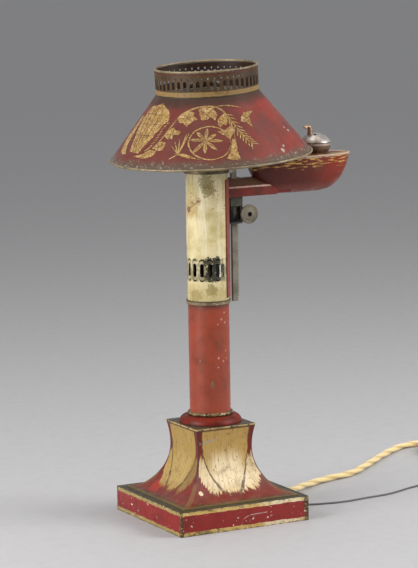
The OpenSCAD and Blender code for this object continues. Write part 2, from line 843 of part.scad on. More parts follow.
module hull_solid(length, beam, depth, lip) {
    stations = 24;
    ribs = 12;
    ring = ribs + 3;
    points = concat(
        [[-length / 2, 0, lip]],
        [for (i = [1:stations - 1]) let (
            u = -cos(180 * i / stations), b = half_beam(u, beam), d = keel_depth(u, depth)
        ) each concat(
            [[u * length / 2, b, lip]],
            [for (k = [0:ribs]) [u * length / 2, b * cos(180 * k / ribs), -d * sin(180 * k / ribs)]],
            [[u * length / 2, -b, lip]]
        )],
        [[length / 2, 0, lip]]
    );
    tip = len(points) - 1;
    skin = [
        for (i = [0:stations - 3], k = [0:ring - 1])
            let (a = 1 + i * ring + k, b = 1 + i * ring + (k + 1) % ring)
            each [[a, b, b + ring], [a, b + ring, a + ring]]
    ];
    first = [for (k = [0:ring - 1]) [0, 1 + (k + 1) % ring, 1 + k]];
    last = [for (k = [0:ring - 1]) [tip, tip - ring + k, tip - ring + (k + 1) % ring]];
    polyhedron(points = points, faces = concat(skin, first, last));
}

module reservoir_hull() {
    lip = 1;
    color(red) difference() {
        translate([tank_x, 0, tank_z - lip]) difference() {
            hull_solid(tank_len, tank_beam, tank_depth - lip, lip);
            hull_solid(
                tank_len - 5 * sheet_t, tank_beam - 2 * sheet_t, tank_depth - lip - sheet_t, lip + cut
            );
        }
        arm_solid(fit);
    }
}

module oval(length, beam) {
    polygon([for (a = [0:2:358]) [length / 2 * cos(a), beam / 2 * sin(a)]]);
}

module reservoir_deck() {
    rim = 1.6;
    color(gilt) difference() {
        translate([tank_x, 0, tank_z]) linear_extrude(height = deck_t) oval(tank_len + rim, tank_beam + rim);
        translate([filler_x, 0, tank_z - cut]) cylinder(r = 0.66 * filler_r, h = deck_t + 2 * cut);
    }
}

hinge_y = filler_r + 2.6;
hinge_z = deck_z + filler_h + play / 2;
knuckle_r = hinge_pin_r + 1;
knuckle_w = 4;
lug_w = 2.4;

module filler_neck() {
    wall = 1;
    foot = 0.66 * filler_r;
    lug_x = knuckle_w / 2 + 0.2;
    color(silver) difference() {
        union() {
            translate([filler_x, 0, deck_z]) rotate_extrude() polygon([
                [foot, 0], [foot + 1.6, 0], [0.93 * filler_r, 0.4 * filler_h], [filler_r, 0.84 * filler_h],
                [filler_r, filler_h], [filler_r - wall, filler_h], [filler_r - wall, 0.86 * filler_h],
                [0.93 * filler_r - wall, 0.5 * filler_h], [foot + 0.6, wall], [foot, wall]
            ]);
            for (s = [-1, 1]) translate([filler_x + s * (lug_x + lug_w / 2), 0, 0]) {
                block(
                    [-lug_w / 2, filler_r - 0.6, hinge_z - knuckle_r],
                    [lug_w / 2, hinge_y, hinge_z - play]
                );
                along_x(-lug_w / 2, hinge_y, hinge_z) cylinder(r = knuckle_r, h = lug_w);
            }
        }
        along_x(filler_x - 3 * lug_w, hinge_y, hinge_z) cylinder(r = hinge_pin_r + fit / 2, h = 6 * lug_w);
    }
}

module dome_outline(r, h) {
    ball = (r * r + h * h) / (2 * h);
    intersection() {
        translate([0, h - ball]) circle(r = ball, $fn = 180);
        square([r, h]);
    }
}

module filler_lid() {
    wall = 1;
    vent_r = 1.1;
    color(silver) difference() {
        union() {
            translate([filler_x, 0, lid_z]) rotate_extrude() difference() {
                dome_outline(filler_r, lid_h);
                translate([0, -fit]) dome_outline(filler_r - wall, lid_h - wall);
            }
            block(
                [filler_x - knuckle_w / 2, filler_r - 1.4, hinge_z + play],
                [filler_x + knuckle_w / 2, hinge_y, hinge_z + knuckle_r]
            );
            along_x(filler_x - knuckle_w / 2, hinge_y, hinge_z) cylinder(r = knuckle_r, h = knuckle_w);
        }
        translate([filler_x, 0, lid_z]) cylinder(r = vent_r, h = lid_h + cut);
        along_x(filler_x - knuckle_w, hinge_y, hinge_z) cylinder(r = hinge_pin_r + fit, h = 2 * knuckle_w);
    }
}

module lid_hinge_pin() {
    long = knuckle_w + 2 * lug_w + 1.4;
    color(brass) along_x(filler_x - long / 2, hinge_y, hinge_z) cylinder(r = hinge_pin_r, h = long);
}

scroll_r = 3.9;
scroll_wire_r = 1.5;
scroll_x = filler_x - 6.2;

module lid_scroll() {
    ball = (filler_r * filler_r + lid_h * lid_h) / (2 * lid_h);
    foot = lid_z + lid_h - ball + sqrt(ball * ball - pow(filler_x - scroll_x - scroll_wire_r, 2)) + 0.1;
    turn_z = foot + 6;
    color(brass) {
        translate([scroll_x, 0, foot]) cylinder(r = scroll_wire_r, h = turn_z - foot);
        translate([scroll_x - scroll_r, 0, turn_z]) intersection() {
            rotate([90, 0, 0]) rotate_extrude() translate([scroll_r, 0]) circle(r = scroll_wire_r);
            block([-2 * scroll_r, -scroll_r, 0], [2 * scroll_r, scroll_r, 2 * scroll_r]);
        }
        translate([scroll_x - 2 * scroll_r + 0.4, 0, turn_z - 0.6]) sphere(r = 1.25 * scroll_wire_r);
    }
}

// Shade, in its own leaning frame whose origin is the middle of the lower edge
module shade_frame() {
    translate([shade_shift, shade_y, shade_z]) rotate([lean_back, -lean_side, 0]) children();
}

function leaned(p) =
    let (
        y = p[1] * cos(lean_back) - p[2] * sin(lean_back),
        z = p[1] * sin(lean_back) + p[2] * cos(lean_back)
    )
    [
        shade_shift + p[0] * cos(lean_side) - z * sin(lean_side),
        shade_y + y,
        shade_z + p[0] * sin(lean_side) + z * cos(lean_side)
    ];

module flat_ring(r, w, h, t) {
    translate([0, 0, h]) tube(r, w, t);
}

module shade_carrier() {
    clamp_z = jacket_top + 1 - clamp_h;
    root_r = jacket_r + fit + 0.8 * clamp_t + rod_r;
    far = 2 * jacket_r;
    color(brass) {
        difference() {
            translate([0, 0, clamp_z]) tube(jacket_r + fit + clamp_t, clamp_t, clamp_h);
            translate([0, 0, clamp_z - cut]) linear_extrude(height = clamp_h + 2 * cut)
                polygon([[0, 0], far * [cos(20), -sin(20)], far * [cos(20), sin(20)]]);
        }
        for (a = leg_angles) let (way = [cos(a), sin(a), 0]) rod(
            root_r * way + [0, 0, jacket_top - 3],
            leaned((seat_r - seat_w / 2) * way + [0, 0, carrier_h + carrier_t / 2]),
            rod_r
        );
        shade_frame() flat_ring(seat_r, seat_w, carrier_h, carrier_t);
    }
}

module shade_seat_ring() {
    color(brass) shade_frame() flat_ring(seat_r, seat_w, seat_h - seat_t, seat_t);
}

module shade_cone() {
    across = shade_t * cone_stretch;
    foot_r = cone_foot_r - cone_slope * cone_foot_h;
    color(red) shade_frame() rotate_extrude() polygon([
        [foot_r, cone_foot_h], [collar_r, cone_h], [collar_r - across, cone_h], [foot_r - across, cone_foot_h]
    ]);
}

module arch_outline() {
    step = 2 * PI * collar_r / arch_count;
    square([arch_w, arch_h - arch_w / 2]);
    translate([arch_w / 2, arch_h - arch_w / 2]) circle(r = arch_w / 2);
    translate([arch_w / 2 + step / 2, arch_h + 1.2])
        polygon([[-0.3 * arch_w, 1.8], [0.3 * arch_w, 1.8], [0, -1.4]]);
}

module shade_collar() {
    sill = cone_h + 7.5;
    color(gilt) shade_frame() difference() {
        translate([0, 0, cone_h]) tube(collar_r, shade_t, collar_h - edge_wire_r - 0.2);
        for (k = [0:arch_count - 1]) rotate([0, 0, k * 360 / arch_count])
            translate([collar_r - 2 * shade_t, -arch_w / 2, sill]) rotate([90, 0, 90])
                linear_extrude(height = 2 * shade_t + cut) arch_outline();
    }
}

module wire_ring(r, h) {
    shade_frame() translate([0, 0, h]) rotate_extrude() translate([r, 0]) circle(r = edge_wire_r);
}

module shade_top_wire() {
    color(gilt) wire_ring(collar_r - shade_t / 2, cone_h + collar_h);
}

module shade_bottom_wire() {
    color(gilt) wire_ring(shade_rim_r - edge_wire_r, 0);
}

// Electric light
module lampholder() {
    floor_t = 4;
    color(brass) difference() {
        translate([0, 0, holder_z]) cylinder(r = holder_r, h = holder_h);
        translate([0, 0, holder_z + floor_t]) cylinder(r = holder_r - holder_wall, h = holder_h);
        translate([0, 0, holder_z - cut]) cylinder(r = tie_r + fit, h = floor_t + 2 * cut);
        along_y(0, holder_r + cut, bar_z) cylinder(r = bar_r + fit, h = 2 * (holder_r + cut));
    }
}

module holder_insert() {
    color(cotton) difference() {
        translate([0, 0, insert_z]) cylinder(r = holder_r - holder_wall - fit, h = insert_h);
        translate([0, 0, socket_z]) cylinder(r = bulb_cap_r + 0.3, h = insert_h);
    }
}

module switch_bar() {
    half = holder_r + 5;
    color(iron) {
        along_y(0, half - bar_travel / 2, bar_z) cylinder(r = bar_r, h = 2 * half);
        along_y(0, half - bar_travel / 2, bar_z) cylinder(r = 1.6 * bar_r, h = 1.6);
        along_y(0, -half - bar_travel / 2 + 1.6, bar_z) cylinder(r = 1.6 * bar_r, h = 1.6);
    }
}

module bulb_cap() {
    color(brass) translate([0, 0, bulb_z - bulb_cap_h]) cylinder(r = bulb_cap_r, h = bulb_cap_h);
}

module bulb_outline(r, neck, foot) {
    intersection() {
        union() {
            translate([0, bulb_mid_z - bulb_z]) circle(r = r);
            translate([0, foot]) square([neck, bulb_mid_z - bulb_z]);
        }
        translate([0, foot]) square([bulb_r, 3 * bulb_r]);
    }
}

module bulb_glass() {
    color("white", 0.5) translate([0, 0, bulb_z]) rotate_extrude() difference() {
        bulb_outline(bulb_r, bulb_neck_r, 0);
        bulb_outline(bulb_r - bulb_wall, bulb_neck_r - bulb_wall, bulb_wall);
    }
}

// Cords
module inner_flex() {
    color(silk) swept(inner_points, inner_flex_r, cord_sides, [0, 1, 0]);
}

module flex_gland() {
    wall_x = plinth_side / 2;
    color(iron) {
        along_x(wall_x - 6, flex_y, flex_z) cylinder(r = gland_r, h = 6 + gland_flange_t);
        along_x(wall_x, flex_y, flex_z) cylinder(r = gland_flange_r, h = gland_flange_t);
        along_x(wall_x + gland_flange_t, flex_y, flex_z)
            cylinder(r1 = gland_r, r2 = relief_tip_r, h = relief_len);
    }
}

module flex_lead() {
    color(silk) swept(smooth(flex_route, 1), flex_d / 2, cord_sides, [0, 0, 1]);
}

module flex_coil() {
    color(silk) swept(flex_coil_points, flex_d / 2, coil_sides, [0, 0, 1]);
}

module flex_tie() {
    reach = flex_d / 2 + play;
    inner_r = flex_coil_r - flex_step * (flex_turns + 0.25);
    color(cotton) band(
        flex_coil_at, 250,
        [inner_r - reach, flex_coil_z - reach],
        [flex_coil_r + reach, flex_coil_z + flex_step + reach],
        tie_band_t
    );
}

plug_half_h = flex_coil_z + flex_step - 0.2;
plug_nose = 12;
plug_len = 24;
pin_gap = 19;
pin_r = 2;

module at_plug() {
    translate(flex_end) rotate([0, 0, flex_end_angle]) children();
}

module plug_body() {
    spread = 6;
    color(iron) at_plug() {
        rotate([90, 0, 0]) cylinder(r1 = relief_tip_r, r2 = 8, h = plug_nose);
        translate([0, -plug_nose, 0]) rotate([90, 0, 0]) linear_extrude(height = plug_len) {
            square([2 * spread, 2 * plug_half_h], center = true);
            for (s = [-1, 1]) translate([s * spread, 0]) circle(r = plug_half_h);
        }
    }
}

module plug_pins() {
    color(brass) at_plug() for (s = [-1, 1])
        translate([s * pin_gap / 2, -plug_nose - plug_len, 0]) rotate([90, 0, 0])
            cylinder(r = pin_r, h = plug_pin_len);
}

module earth_bush() {
    wall_x = plinth_side / 2;
    color(iron) {
        along_x(wall_x - 4, earth_y, earth_z) cylinder(r = bush_r, h = 4 + bush_flange_t);
        along_x(wall_x, earth_y, earth_z) cylinder(r = bush_flange_r, h = bush_flange_t);
        along_x(wall_x + bush_flange_t, earth_y, earth_z)
            cylinder(r1 = bush_r, r2 = earth_d / 2 + 0.4, h = bush_len);
    }
}

module earth_lead() {
    color(iron) swept(smooth(earth_route, 2), earth_d / 2, cord_sides, [0, 0, 1]);
}

module earth_coil() {
    color(iron) swept(earth_coil_points, earth_d / 2, coil_sides, [0, 0, 1]);
}

module earth_tie() {
    reach = earth_d / 2 + play;
    inner_r = earth_coil_r - earth_step * (earth_turns + 0.25);
    color(cotton) band(
        earth_coil_at, 200,
        [inner_r - reach, earth_coil_z - reach],
        [earth_coil_r + reach, earth_coil_z + earth_step + reach],
        earth_band_t
    );
}

module earth_fork() {
    barrel_r = earth_coil_z + earth_step - 0.6;
    barrel_len = 9;
    blade = 0.8;
    color(brass) translate(earth_end) rotate([0, 0, earth_end_angle]) {
        rotate([90, 0, 0]) cylinder(r1 = earth_d / 2 + 0.4, r2 = barrel_r, h = 2);
        translate([0, -2, 0]) rotate([90, 0, 0]) cylinder(r = barrel_r, h = barrel_len);
        difference() {
            block([-4, -barrel_len - 14, -blade / 2], [4, -barrel_len - 2, blade / 2]);
            block([-2.1, -barrel_len - 15, -blade], [2.1, -barrel_len - 7, blade]);
            translate([0, -barrel_len - 7, -blade]) cylinder(r = 2.1, h = 2 * blade);
        }
    }
}

plinth_shell();
bottom_plate();
bottom_screws();
base_weight();
pedestal_shell();
pedestal_cap();
torus_ring();
torus_bead();
column_tube();
column_collar();
tie_tube();
tie_nuts();
burner_jacket();
burner_floor();
draught_tube();
wick_tube();
burner_cap();
wick();
wick_carrier();
lift_crank();
rack();
rack_guide();
pinion();
pinion_housing();
knob();
oil_saddle();
supply_arm();
reservoir_hull();
reservoir_deck();
filler_neck();
filler_lid();
lid_scroll();
lid_hinge_pin();
shade_carrier();
shade_seat_ring();
shade_cone();
shade_collar();
shade_top_wire();
shade_bottom_wire();
lampholder();
holder_insert();
switch_bar();
bulb_cap();
bulb_glass();
inner_flex();
flex_gland();
flex_lead();
flex_coil();
flex_tie();
plug_body();
plug_pins();
earth_bush();
earth_lead();
earth_coil();
earth_tie();
earth_fork();
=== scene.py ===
"""Looks of an argand oil lamp in painted sheet iron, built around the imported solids.

Sizes in the classes are millimetres, as in the part's source, and meshes are made in metres.
"""

import logging
import math
import random
from contextlib import contextmanager
from dataclasses import dataclass
from enum import Enum
from typing import Callable, Iterator, Sequence

import bmesh
import bpy
from mathutils import Euler, Matrix, Vector


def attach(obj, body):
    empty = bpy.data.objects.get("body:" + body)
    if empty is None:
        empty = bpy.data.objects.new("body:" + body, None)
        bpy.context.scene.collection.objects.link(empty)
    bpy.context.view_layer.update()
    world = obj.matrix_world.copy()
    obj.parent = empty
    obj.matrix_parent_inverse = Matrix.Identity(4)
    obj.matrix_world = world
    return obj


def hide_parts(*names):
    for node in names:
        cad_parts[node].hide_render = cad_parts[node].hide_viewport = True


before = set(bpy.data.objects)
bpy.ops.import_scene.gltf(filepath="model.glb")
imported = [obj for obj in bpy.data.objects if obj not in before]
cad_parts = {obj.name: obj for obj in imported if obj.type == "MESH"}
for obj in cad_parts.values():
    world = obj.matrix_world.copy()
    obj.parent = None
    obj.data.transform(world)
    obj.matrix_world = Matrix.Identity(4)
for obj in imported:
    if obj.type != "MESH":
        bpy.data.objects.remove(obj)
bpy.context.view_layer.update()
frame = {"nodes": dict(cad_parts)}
LOG = logging.getLogger("oil_lamp")
MM = 0.001
Colour = tuple[float, float, float]
Flat = tuple[float, float]
Place = tuple[float, float, float]
Spot = tuple[Place, float]


class Body(str, Enum):
    """The bodies that pieces ride on."""

    LAMP = "lamp"
    KNOB = "knob_drive"
    WICK = "wick_lift"
    LID = "lid"
    SHADE = "shade"


class Slot(str, Enum):
    """Names of material slots, which are passed along with new pieces but not used."""

    RED = "red_paint"
    GILT = "gilt_paint"
    BRASS = "brass_old"
    COTTON = "cotton"
    SILK = "silk_flex"
    LEAD = "grey_lead"


class Tree:
    """Adds nodes to one node tree and links them."""

    def __init__(self, tree: bpy.types.NodeTree) -> None:
        """Keeps the tree that nodes are added to."""
        self.tree = tree

    def node(self, kind: str, **settings: object) -> bpy.types.Node:
        """Adds a node.

        Args:
            kind: Blender's name of the node type.
            settings: properties to set on the node.

        Returns:
            The new node.
        """
        made = self.tree.nodes.new(kind)
        for name, value in settings.items():
            setattr(made, name, value)
        return made

    def feed(self, socket: bpy.types.NodeSocket, value: object) -> None:
        """Links a socket to a value of the tree, or sets its own value."""
        if isinstance(value, Value):
            self.tree.links.new(value.socket, socket)
        elif socket.type == "RGBA" and len(value) == 3:
            socket.default_value = (*value, 1.0)
        else:
            socket.default_value = value

    def fill(self, made: bpy.types.Node, inputs: dict[int | str, object], output: int | str = 0) -> "Value":
        """Feeds a node's inputs and gives one of its outputs."""
        for key, value in inputs.items():
            self.feed(made.inputs[key], value)
        return Value(self, made.outputs[output])


def operator(operation: str, swapped: bool = False) -> Callable[..., "Value"]:
    """Makes a method that adds one Math node.

    Args:
        operation: Blender's name of the operation.
        swapped: whether the value is the second operand.

    Returns:
        The method.
    """

    def method(value: "Value", other: object = 0.0) -> "Value":
        """Adds the Math node."""
        first, second = (other, value) if swapped else (value, other)
        return value.tree.fill(value.tree.node("ShaderNodeMath", operation=operation), {0: first, 1: second})

    return method


class Effect(Enum):
    """Effects that several finishes share."""

    CLOUD = "cloud"
    FLECKS = "flecks"
    STREAKS = "streaks"
    BAND = "band"
    LINE = "line"
    DUST = "dust"
    SPOT = "spot"


def shared(effect: Effect) -> Callable[..., "Value"]:
    """Makes a method that places a shared effect on a value.

    Args:
        effect: the effect, whose other inputs are given by name.

    Returns:
        The method.
    """

    def method(value: "Value", **inputs: object) -> "Value":
        """Places the effect's node group."""
        made = value.tree.node("ShaderNodeGroup", node_tree=EFFECTS.get(effect))
        given = {name.capitalize(): fed for name, fed in inputs.items()}
        return value.tree.fill(made, {0: value, **given})

    return method


class Value:
    """One output in a node tree, with arithmetic and effects that add nodes."""

    def __init__(self, tree: Tree, socket: bpy.types.NodeSocket) -> None:
        """Keeps the output and its tree."""
        self.tree = tree
        self.socket = socket

    __add__, __radd__ = operator("ADD"), operator("ADD", True)
    __sub__, __rsub__ = operator("SUBTRACT"), operator("SUBTRACT", True)
    __mul__, __rmul__ = operator("MULTIPLY"), operator("MULTIPLY", True)
    __truediv__, __pow__ = operator("DIVIDE"), operator("POWER")
    __lt__, __gt__ = operator("LESS_THAN"), operator("GREATER_THAN")
    __abs__, root = operator("ABSOLUTE"), operator("SQRT")
    maximum, minimum = operator("MAXIMUM"), operator("MINIMUM")
    sine, cosine, angle = operator("SINE"), operator("COSINE"), operator("ARCTAN2")
    cloud, flecks, streaks = shared(Effect.CLOUD), shared(Effect.FLECKS), shared(Effect.STREAKS)
    band, line, dust, spot = (shared(e) for e in (Effect.BAND, Effect.LINE, Effect.DUST, Effect.SPOT))

    def mix(self, below: object, above: object) -> "Value":
        """Lays one colour over another, with this value as the mask."""
        made = self.tree.node("ShaderNodeMix", data_type="RGBA")
        return self.tree.fill(made, {0: self, 6: below, 7: above}, 2)

    def blend(self, low: object, high: object) -> "Value":
        """Goes from one number to another, with this value as the mask."""
        made = self.tree.node("ShaderNodeMix", data_type="FLOAT")
        return self.tree.fill(made, {0: self, 2: low, 3: high})

    def step(self, low: object, high: object) -> "Value":
        """Rises smoothly from 0 at low to 1 at high."""
        made = self.tree.node("ShaderNodeMapRange", interpolation_type="SMOOTHSTEP")
        return self.tree.fill(made, {"Value": self, "From Min": low, "From Max": high})

    def noise(self, scale: object, detail: float = 4.0) -> "Value":
        """Gives soft noise from 0 to 1 at this place."""
        made = self.tree.node("ShaderNodeTexNoise")
        return self.tree.fill(made, {"Vector": self, "Scale": scale, "Detail": detail, "Roughness": 0.6})

    def scaled(self, factors: object) -> "Value":
        """Multiplies this vector by three factors."""
        return self.tree.fill(
            self.tree.node("ShaderNodeVectorMath", operation="MULTIPLY"), {0: self, 1: factors}
        )

    def away(self, point: object) -> "Value":
        """Gives the distance of this place from a point."""
        made = self.tree.node("ShaderNodeVectorMath", operation="DISTANCE")
        return self.tree.fill(made, {0: self, 1: point}, "Value")

    def parts(self) -> tuple["Value", ...]:
        """Splits this vector into X, Y and Z."""
        made = self.tree.node("ShaderNodeSeparateXYZ")
        self.tree.feed(made.inputs[0], self)
        return tuple(Value(self.tree, socket) for socket in made.outputs)

    def joined(self, y: object, z: object) -> "Value":
        """Makes a vector of this X and the given Y and Z."""
        return self.tree.fill(self.tree.node("ShaderNodeCombineXYZ"), {0: self, 1: y, 2: z})

    def curve(self, points: Sequence[Flat]) -> "Value":
        """Maps this value, from 0 to 1, through a drawn curve."""
        made = self.tree.node("ShaderNodeFloatCurve")
        drawn = made.mapping.curves[0].points
        drawn[0].location = points[0]
        drawn[1].location = points[-1]
        for point in points[1:-1]:
            drawn.new(*point)
        made.mapping.update()
        return self.tree.fill(made, {"Value": self})


class Effects:
    """Builds each shared node group once, when it is first asked for."""

    INPUTS = {
        Effect.CLOUD: ("Vector", "Scale", "Low", "High"),
        Effect.FLECKS: ("Vector", "Scale", "Amount"),
        Effect.STREAKS: ("Vector", "Across", "Along", "Low", "High"),
        Effect.BAND: ("Value", "Low", "High", "Soft"),
        Effect.LINE: ("Value", "Middle", "Width"),
        Effect.DUST: ("Vector", "Amount"),
        Effect.SPOT: ("Vector", "Point", "Radius"),
    }

    def __init__(self) -> None:
        """Starts with no group."""
        self.made: dict[Effect, bpy.types.NodeTree] = {}

    def get(self, effect: Effect) -> bpy.types.NodeTree:
        """Gives the group of an effect, and builds it the first time."""
        if effect not in self.made:
            self.made[effect] = self.build(effect)
        return self.made[effect]

    def build(self, effect: Effect) -> bpy.types.NodeTree:
        """Makes the group of one effect.

        Args:
            effect: the effect to build.

        Returns:
            The node group, with named inputs and the output Mask.
        """
        group = bpy.data.node_groups.new(effect.value, "ShaderNodeTree")
        for name in self.INPUTS[effect]:
            kind = "NodeSocketVector" if name in ("Vector", "Point") else "NodeSocketFloat"
            group.interface.new_socket(name, in_out="INPUT", socket_type=kind)
        group.interface.new_socket("Mask", in_out="OUTPUT", socket_type="NodeSocketFloat")
        tree = Tree(group)
        given = tree.node("NodeGroupInput").outputs
        mask = getattr(self, effect.value)(*(Value(tree, given[name]) for name in self.INPUTS[effect]))
        tree.feed(tree.node("NodeGroupOutput").inputs["Mask"], mask)
        return group

    @staticmethod
    def cloud(place: Value, scale: Value, low: Value, high: Value) -> Value:
        """Soft patches where noise lies above a level."""
        return place.noise(scale, 6.0).step(low, high)

    @staticmethod
    def flecks(place: Value, scale: Value, amount: Value) -> Value:
        """Small hard-edged spots."""
        level = 1.0 - amount
        return place.noise(scale, 3.0).step(level, level + 0.04)

    @staticmethod
    def streaks(place: Value, across: Value, along: Value, low: Value, high: Value) -> Value:
        """Noise drawn out along Z."""
        return place.scaled(across.joined(across, along)).noise(1.0).step(low, high)

    @staticmethod
    def band(value: Value, low: Value, high: Value, soft: Value) -> Value:
        """One between two levels, with soft ends."""
        rising = value.step(low - soft, low)
        return rising * (1.0 - value.step(high, high + soft))

    @staticmethod
    def line(value: Value, middle: Value, width: Value) -> Value:
        """One within a width around a middle."""
        away = abs(value - middle)
        half = width * 0.5
        return 1.0 - away.step(half * 0.5, half)

    @staticmethod
    def dust(place: Value, amount: Value) -> Value:
        """Patchy dust on faces that look upwards."""
        up = Value(place.tree, place.tree.node("ShaderNodeNewGeometry").outputs["Normal"]).parts()[2]
        patches = place.noise(70.0, 6.0).step(0.35, 0.75)
        return up.step(0.3, 0.95) * patches * amount

    @staticmethod
    def spot(place: Value, point: Value, radius: Value) -> Value:
        """A ragged spot round one point."""
        away = place.away(point)
        wander = place.noise(420.0) - 0.5
        ragged = away + wander * (radius * 2.2)
        return 1.0 - ragged.step(radius * 0.8, radius)


EFFECTS = Effects()


def polar(r: float, angle: float, z: float) -> Place:
    """Gives the point at an angle in degrees round the lamp's axis."""
    way = math.radians(angle)
    return (r * math.cos(way), r * math.sin(way), z)


@dataclass(frozen=True)
class Finish:
    """A material that is wired from procedural nodes."""

    name: str
    rough_low: float = 0.35
    rough_high: float = 0.55
    metal: float = 0.0
    specular: float = 0.5
    bump: float = 0.15
    grain: float = 900.0
    relief_height: float = 0.0006

    def build(self) -> bpy.types.Material:
        """Makes the material.

        Returns:
            The finished material.
        """
        material = bpy.data.materials.new(self.name)
        material.use_nodes = True
        tree = Tree(material.node_tree)
        shader = material.node_tree.nodes["Principled BSDF"]
        place = Value(tree, tree.node("ShaderNodeTexCoord").outputs["Object"])
        tree.feed(shader.inputs["Base Color"], self.colour(place))
        tree.feed(shader.inputs["Roughness"], self.roughness(place))
        shader.inputs["Metallic"].default_value = self.metal
        shader.inputs["Specular IOR Level"].default_value = self.specular
        self.relief(shader, place)
        self.extra(shader, place)
        return material

    def colour(self, place: Value) -> Value:
        """Gives the surface colour."""
        raise NotImplementedError

    def roughness(self, place: Value) -> Value:
        """Gives a roughness that varies in patches."""
        patches = place.cloud(scale=110.0, low=0.35, high=0.65)
        return patches.blend(self.rough_low, self.rough_high)

    def height(self, place: Value) -> Value:
        """Gives the height of the fine relief."""
        return place.noise(self.grain, 3.0)

    def relief(self, shader: bpy.types.Node, place: Value) -> None:
        """Feeds the shader's normal from the fine relief."""
        bump = place.tree.node("ShaderNodeBump")
        raised = {"Strength": self.bump, "Distance": self.relief_height, "Height": self.height(place)}
        place.tree.feed(shader.inputs["Normal"], place.tree.fill(bump, raised))

    def extra(self, shader: bpy.types.Node, place: Value) -> None:
        """Sets what else the shader needs."""


@dataclass(frozen=True)
class Worn(Finish):
    """Paint or metal with darker clouds, flecks of another colour and dust."""

    ground: Colour = (0.5, 0.5, 0.5)
    deep: Colour = (0.2, 0.2, 0.2)
    fleck: Colour = (0.6, 0.5, 0.4)
    fleck_amount: float = 0.3
    fleck_scale: float = 420.0
    cloud_scale: float = 60.0
    cloud_low: float = 0.42
    cloud_high: float = 0.72
    fine: float = 0.45
    dust_colour: Colour = (0.3, 0.26, 0.21)
    dust_amount: float = 0.15

    def colour(self, place: Value) -> Value:
        """Lays clouds, flecks and dust over the ground."""
        return self.aged(place, self.ground)

    def aged(self, place: Value, ground: object) -> Value:
        """Ages a ground colour."""
        patches = place.cloud(scale=self.cloud_scale, low=self.cloud_low, high=self.cloud_high)
        shaded = patches.mix(ground, self.deep)
        fine = place.cloud(scale=700.0, low=0.5, high=0.85)
        shaded = (fine * self.fine).mix(shaded, self.deep)
        spots = place.flecks(scale=self.fleck_scale, amount=self.fleck_amount)
        shaded = spots.mix(shaded, self.fleck)
        dust = place.dust(amount=self.dust_amount)
        return dust.mix(shaded, self.dust_colour)

    @staticmethod
    def dotted(place: Value, made: Value, spots: Sequence[Spot], weight: float, tint: Colour) -> Value:
        """Lays ragged spots of one colour over what is made so far."""
        for point, radius in spots:
            made = (place.spot(point=point, radius=radius) * weight).mix(made, tint)
        return made


@dataclass(frozen=True)
class Marked(Worn):
    """Worn ground with bands of other colours by height, and single spots."""

    bands: tuple[tuple[float, float, Colour], ...] = ()
    spots: tuple[tuple[Place, float, Colour], ...] = ()

    def colour(self, place: Value) -> Value:
        """Lays the bands and the spots over the aged ground."""
        made = self.aged(place, self.ground)
        wander = place.noise(240.0) - 0.5
        level = place.parts()[2] + wander * 0.0008
        worn = place.cloud(scale=330.0, low=0.4, high=0.6).blend(0.9, 0.6)
        for low, high, tint in self.bands:
            band = level.band(low=low, high=high, soft=0.0003)
            made = (band * worn).mix(made, tint)
        for point, radius, tint in self.spots:
            spot = place.spot(point=point, radius=radius)
            made = spot.mix(made, tint)
        return made


@dataclass(frozen=True)
class HullPaint(Worn):
    """Red paint with long gilt brush strokes below the reservoir's pale rim, with the shade's shadow painted
    on the part towards the column and a painted reflection of the floor along the keel.
    """

    gilt: Colour = (0.52, 0.31, 0.08)
    pale: Colour = (0.55, 0.4, 0.27)
    painted_shadow: Colour = (0.05, 0.012, 0.008)
    # pinkish red of the painted reflection of the floor along the keel
    rubbed: Colour = (0.2, 0.075, 0.065)
    olive: Colour = (0.065, 0.05, 0.02)
    smear: Place = (0.121, -0.0245, 0.363)
    rim_z: float = 0.3746

    def colour(self, place: Value) -> Value:
        """Draws the painted shadow, the painted reflection, the strokes and the rim over the aged red."""
        x, _, z = place.parts()
        drop = self.rim_z - z
        made = self.aged(place, self.ground)
        # painted shadow of the lamp's shade, dark on the upper hull towards the column
        dark = 1.0 - x.step(0.1, 0.145)
        made = (dark * z.step(0.338, 0.35) * 0.75).mix(made, self.painted_shadow)
        # painted reflection of the floor: paler pinkish red along the lower keel
        low = 1.0 - z.step(0.339, 0.349)
        made = (low * 0.45).mix(made, self.rubbed)
        wave = place.scaled((1.0, 1.0, 0.0)).noise(55.0) * 0.02
        strokes = place.streaks(across=75.0, along=680.0, low=0.52, high=0.6)
        near = 1.0 - (drop - wave).step(-0.001, 0.002)
        made = (near * strokes * 0.85).mix(made, self.gilt)
        smear = place.spot(point=self.smear, radius=0.0065)
        made = (smear * 0.25).mix(made, self.olive)
        edge = 1.0 - drop.step(0.0009, 0.0016)
        patchy = place.cloud(scale=190.0, low=0.4, high=0.6).blend(0.85, 0.35)
        return (edge * patchy).mix(made, self.pale)


@dataclass(frozen=True)
class DeckPaint(Worn):
    """Red deck with gilt brush strokes, rubbed pale along its rim, most on the far side."""

    gilt: Colour = (0.42, 0.26, 0.075)
    pale: Colour = (0.52, 0.4, 0.28)
    middle_x: float = 0.1087
    half_length: float = 0.0612
    half_beam: float = 0.026

    def colour(self, place: Value) -> Value:
        """Draws the strokes and the rubbed rim over the aged red."""
        x, y, _ = place.parts()
        along = (x - self.middle_x) / self.half_length
        across = y / self.half_beam
        out = along * along + across * across
        made = self.aged(place, self.ground)
        strokes = place.streaks(across=60.0, along=60.0, low=0.52, high=0.6)
        made = (strokes * 0.6).mix(made, self.gilt)
        wander = place.noise(120.0) * 0.2
        start = y.step(-0.002, 0.008).blend(0.97, 0.72)
        rim = (out + wander - start).step(0.05, 0.16)
        return (rim * 0.85).mix(made, self.pale)


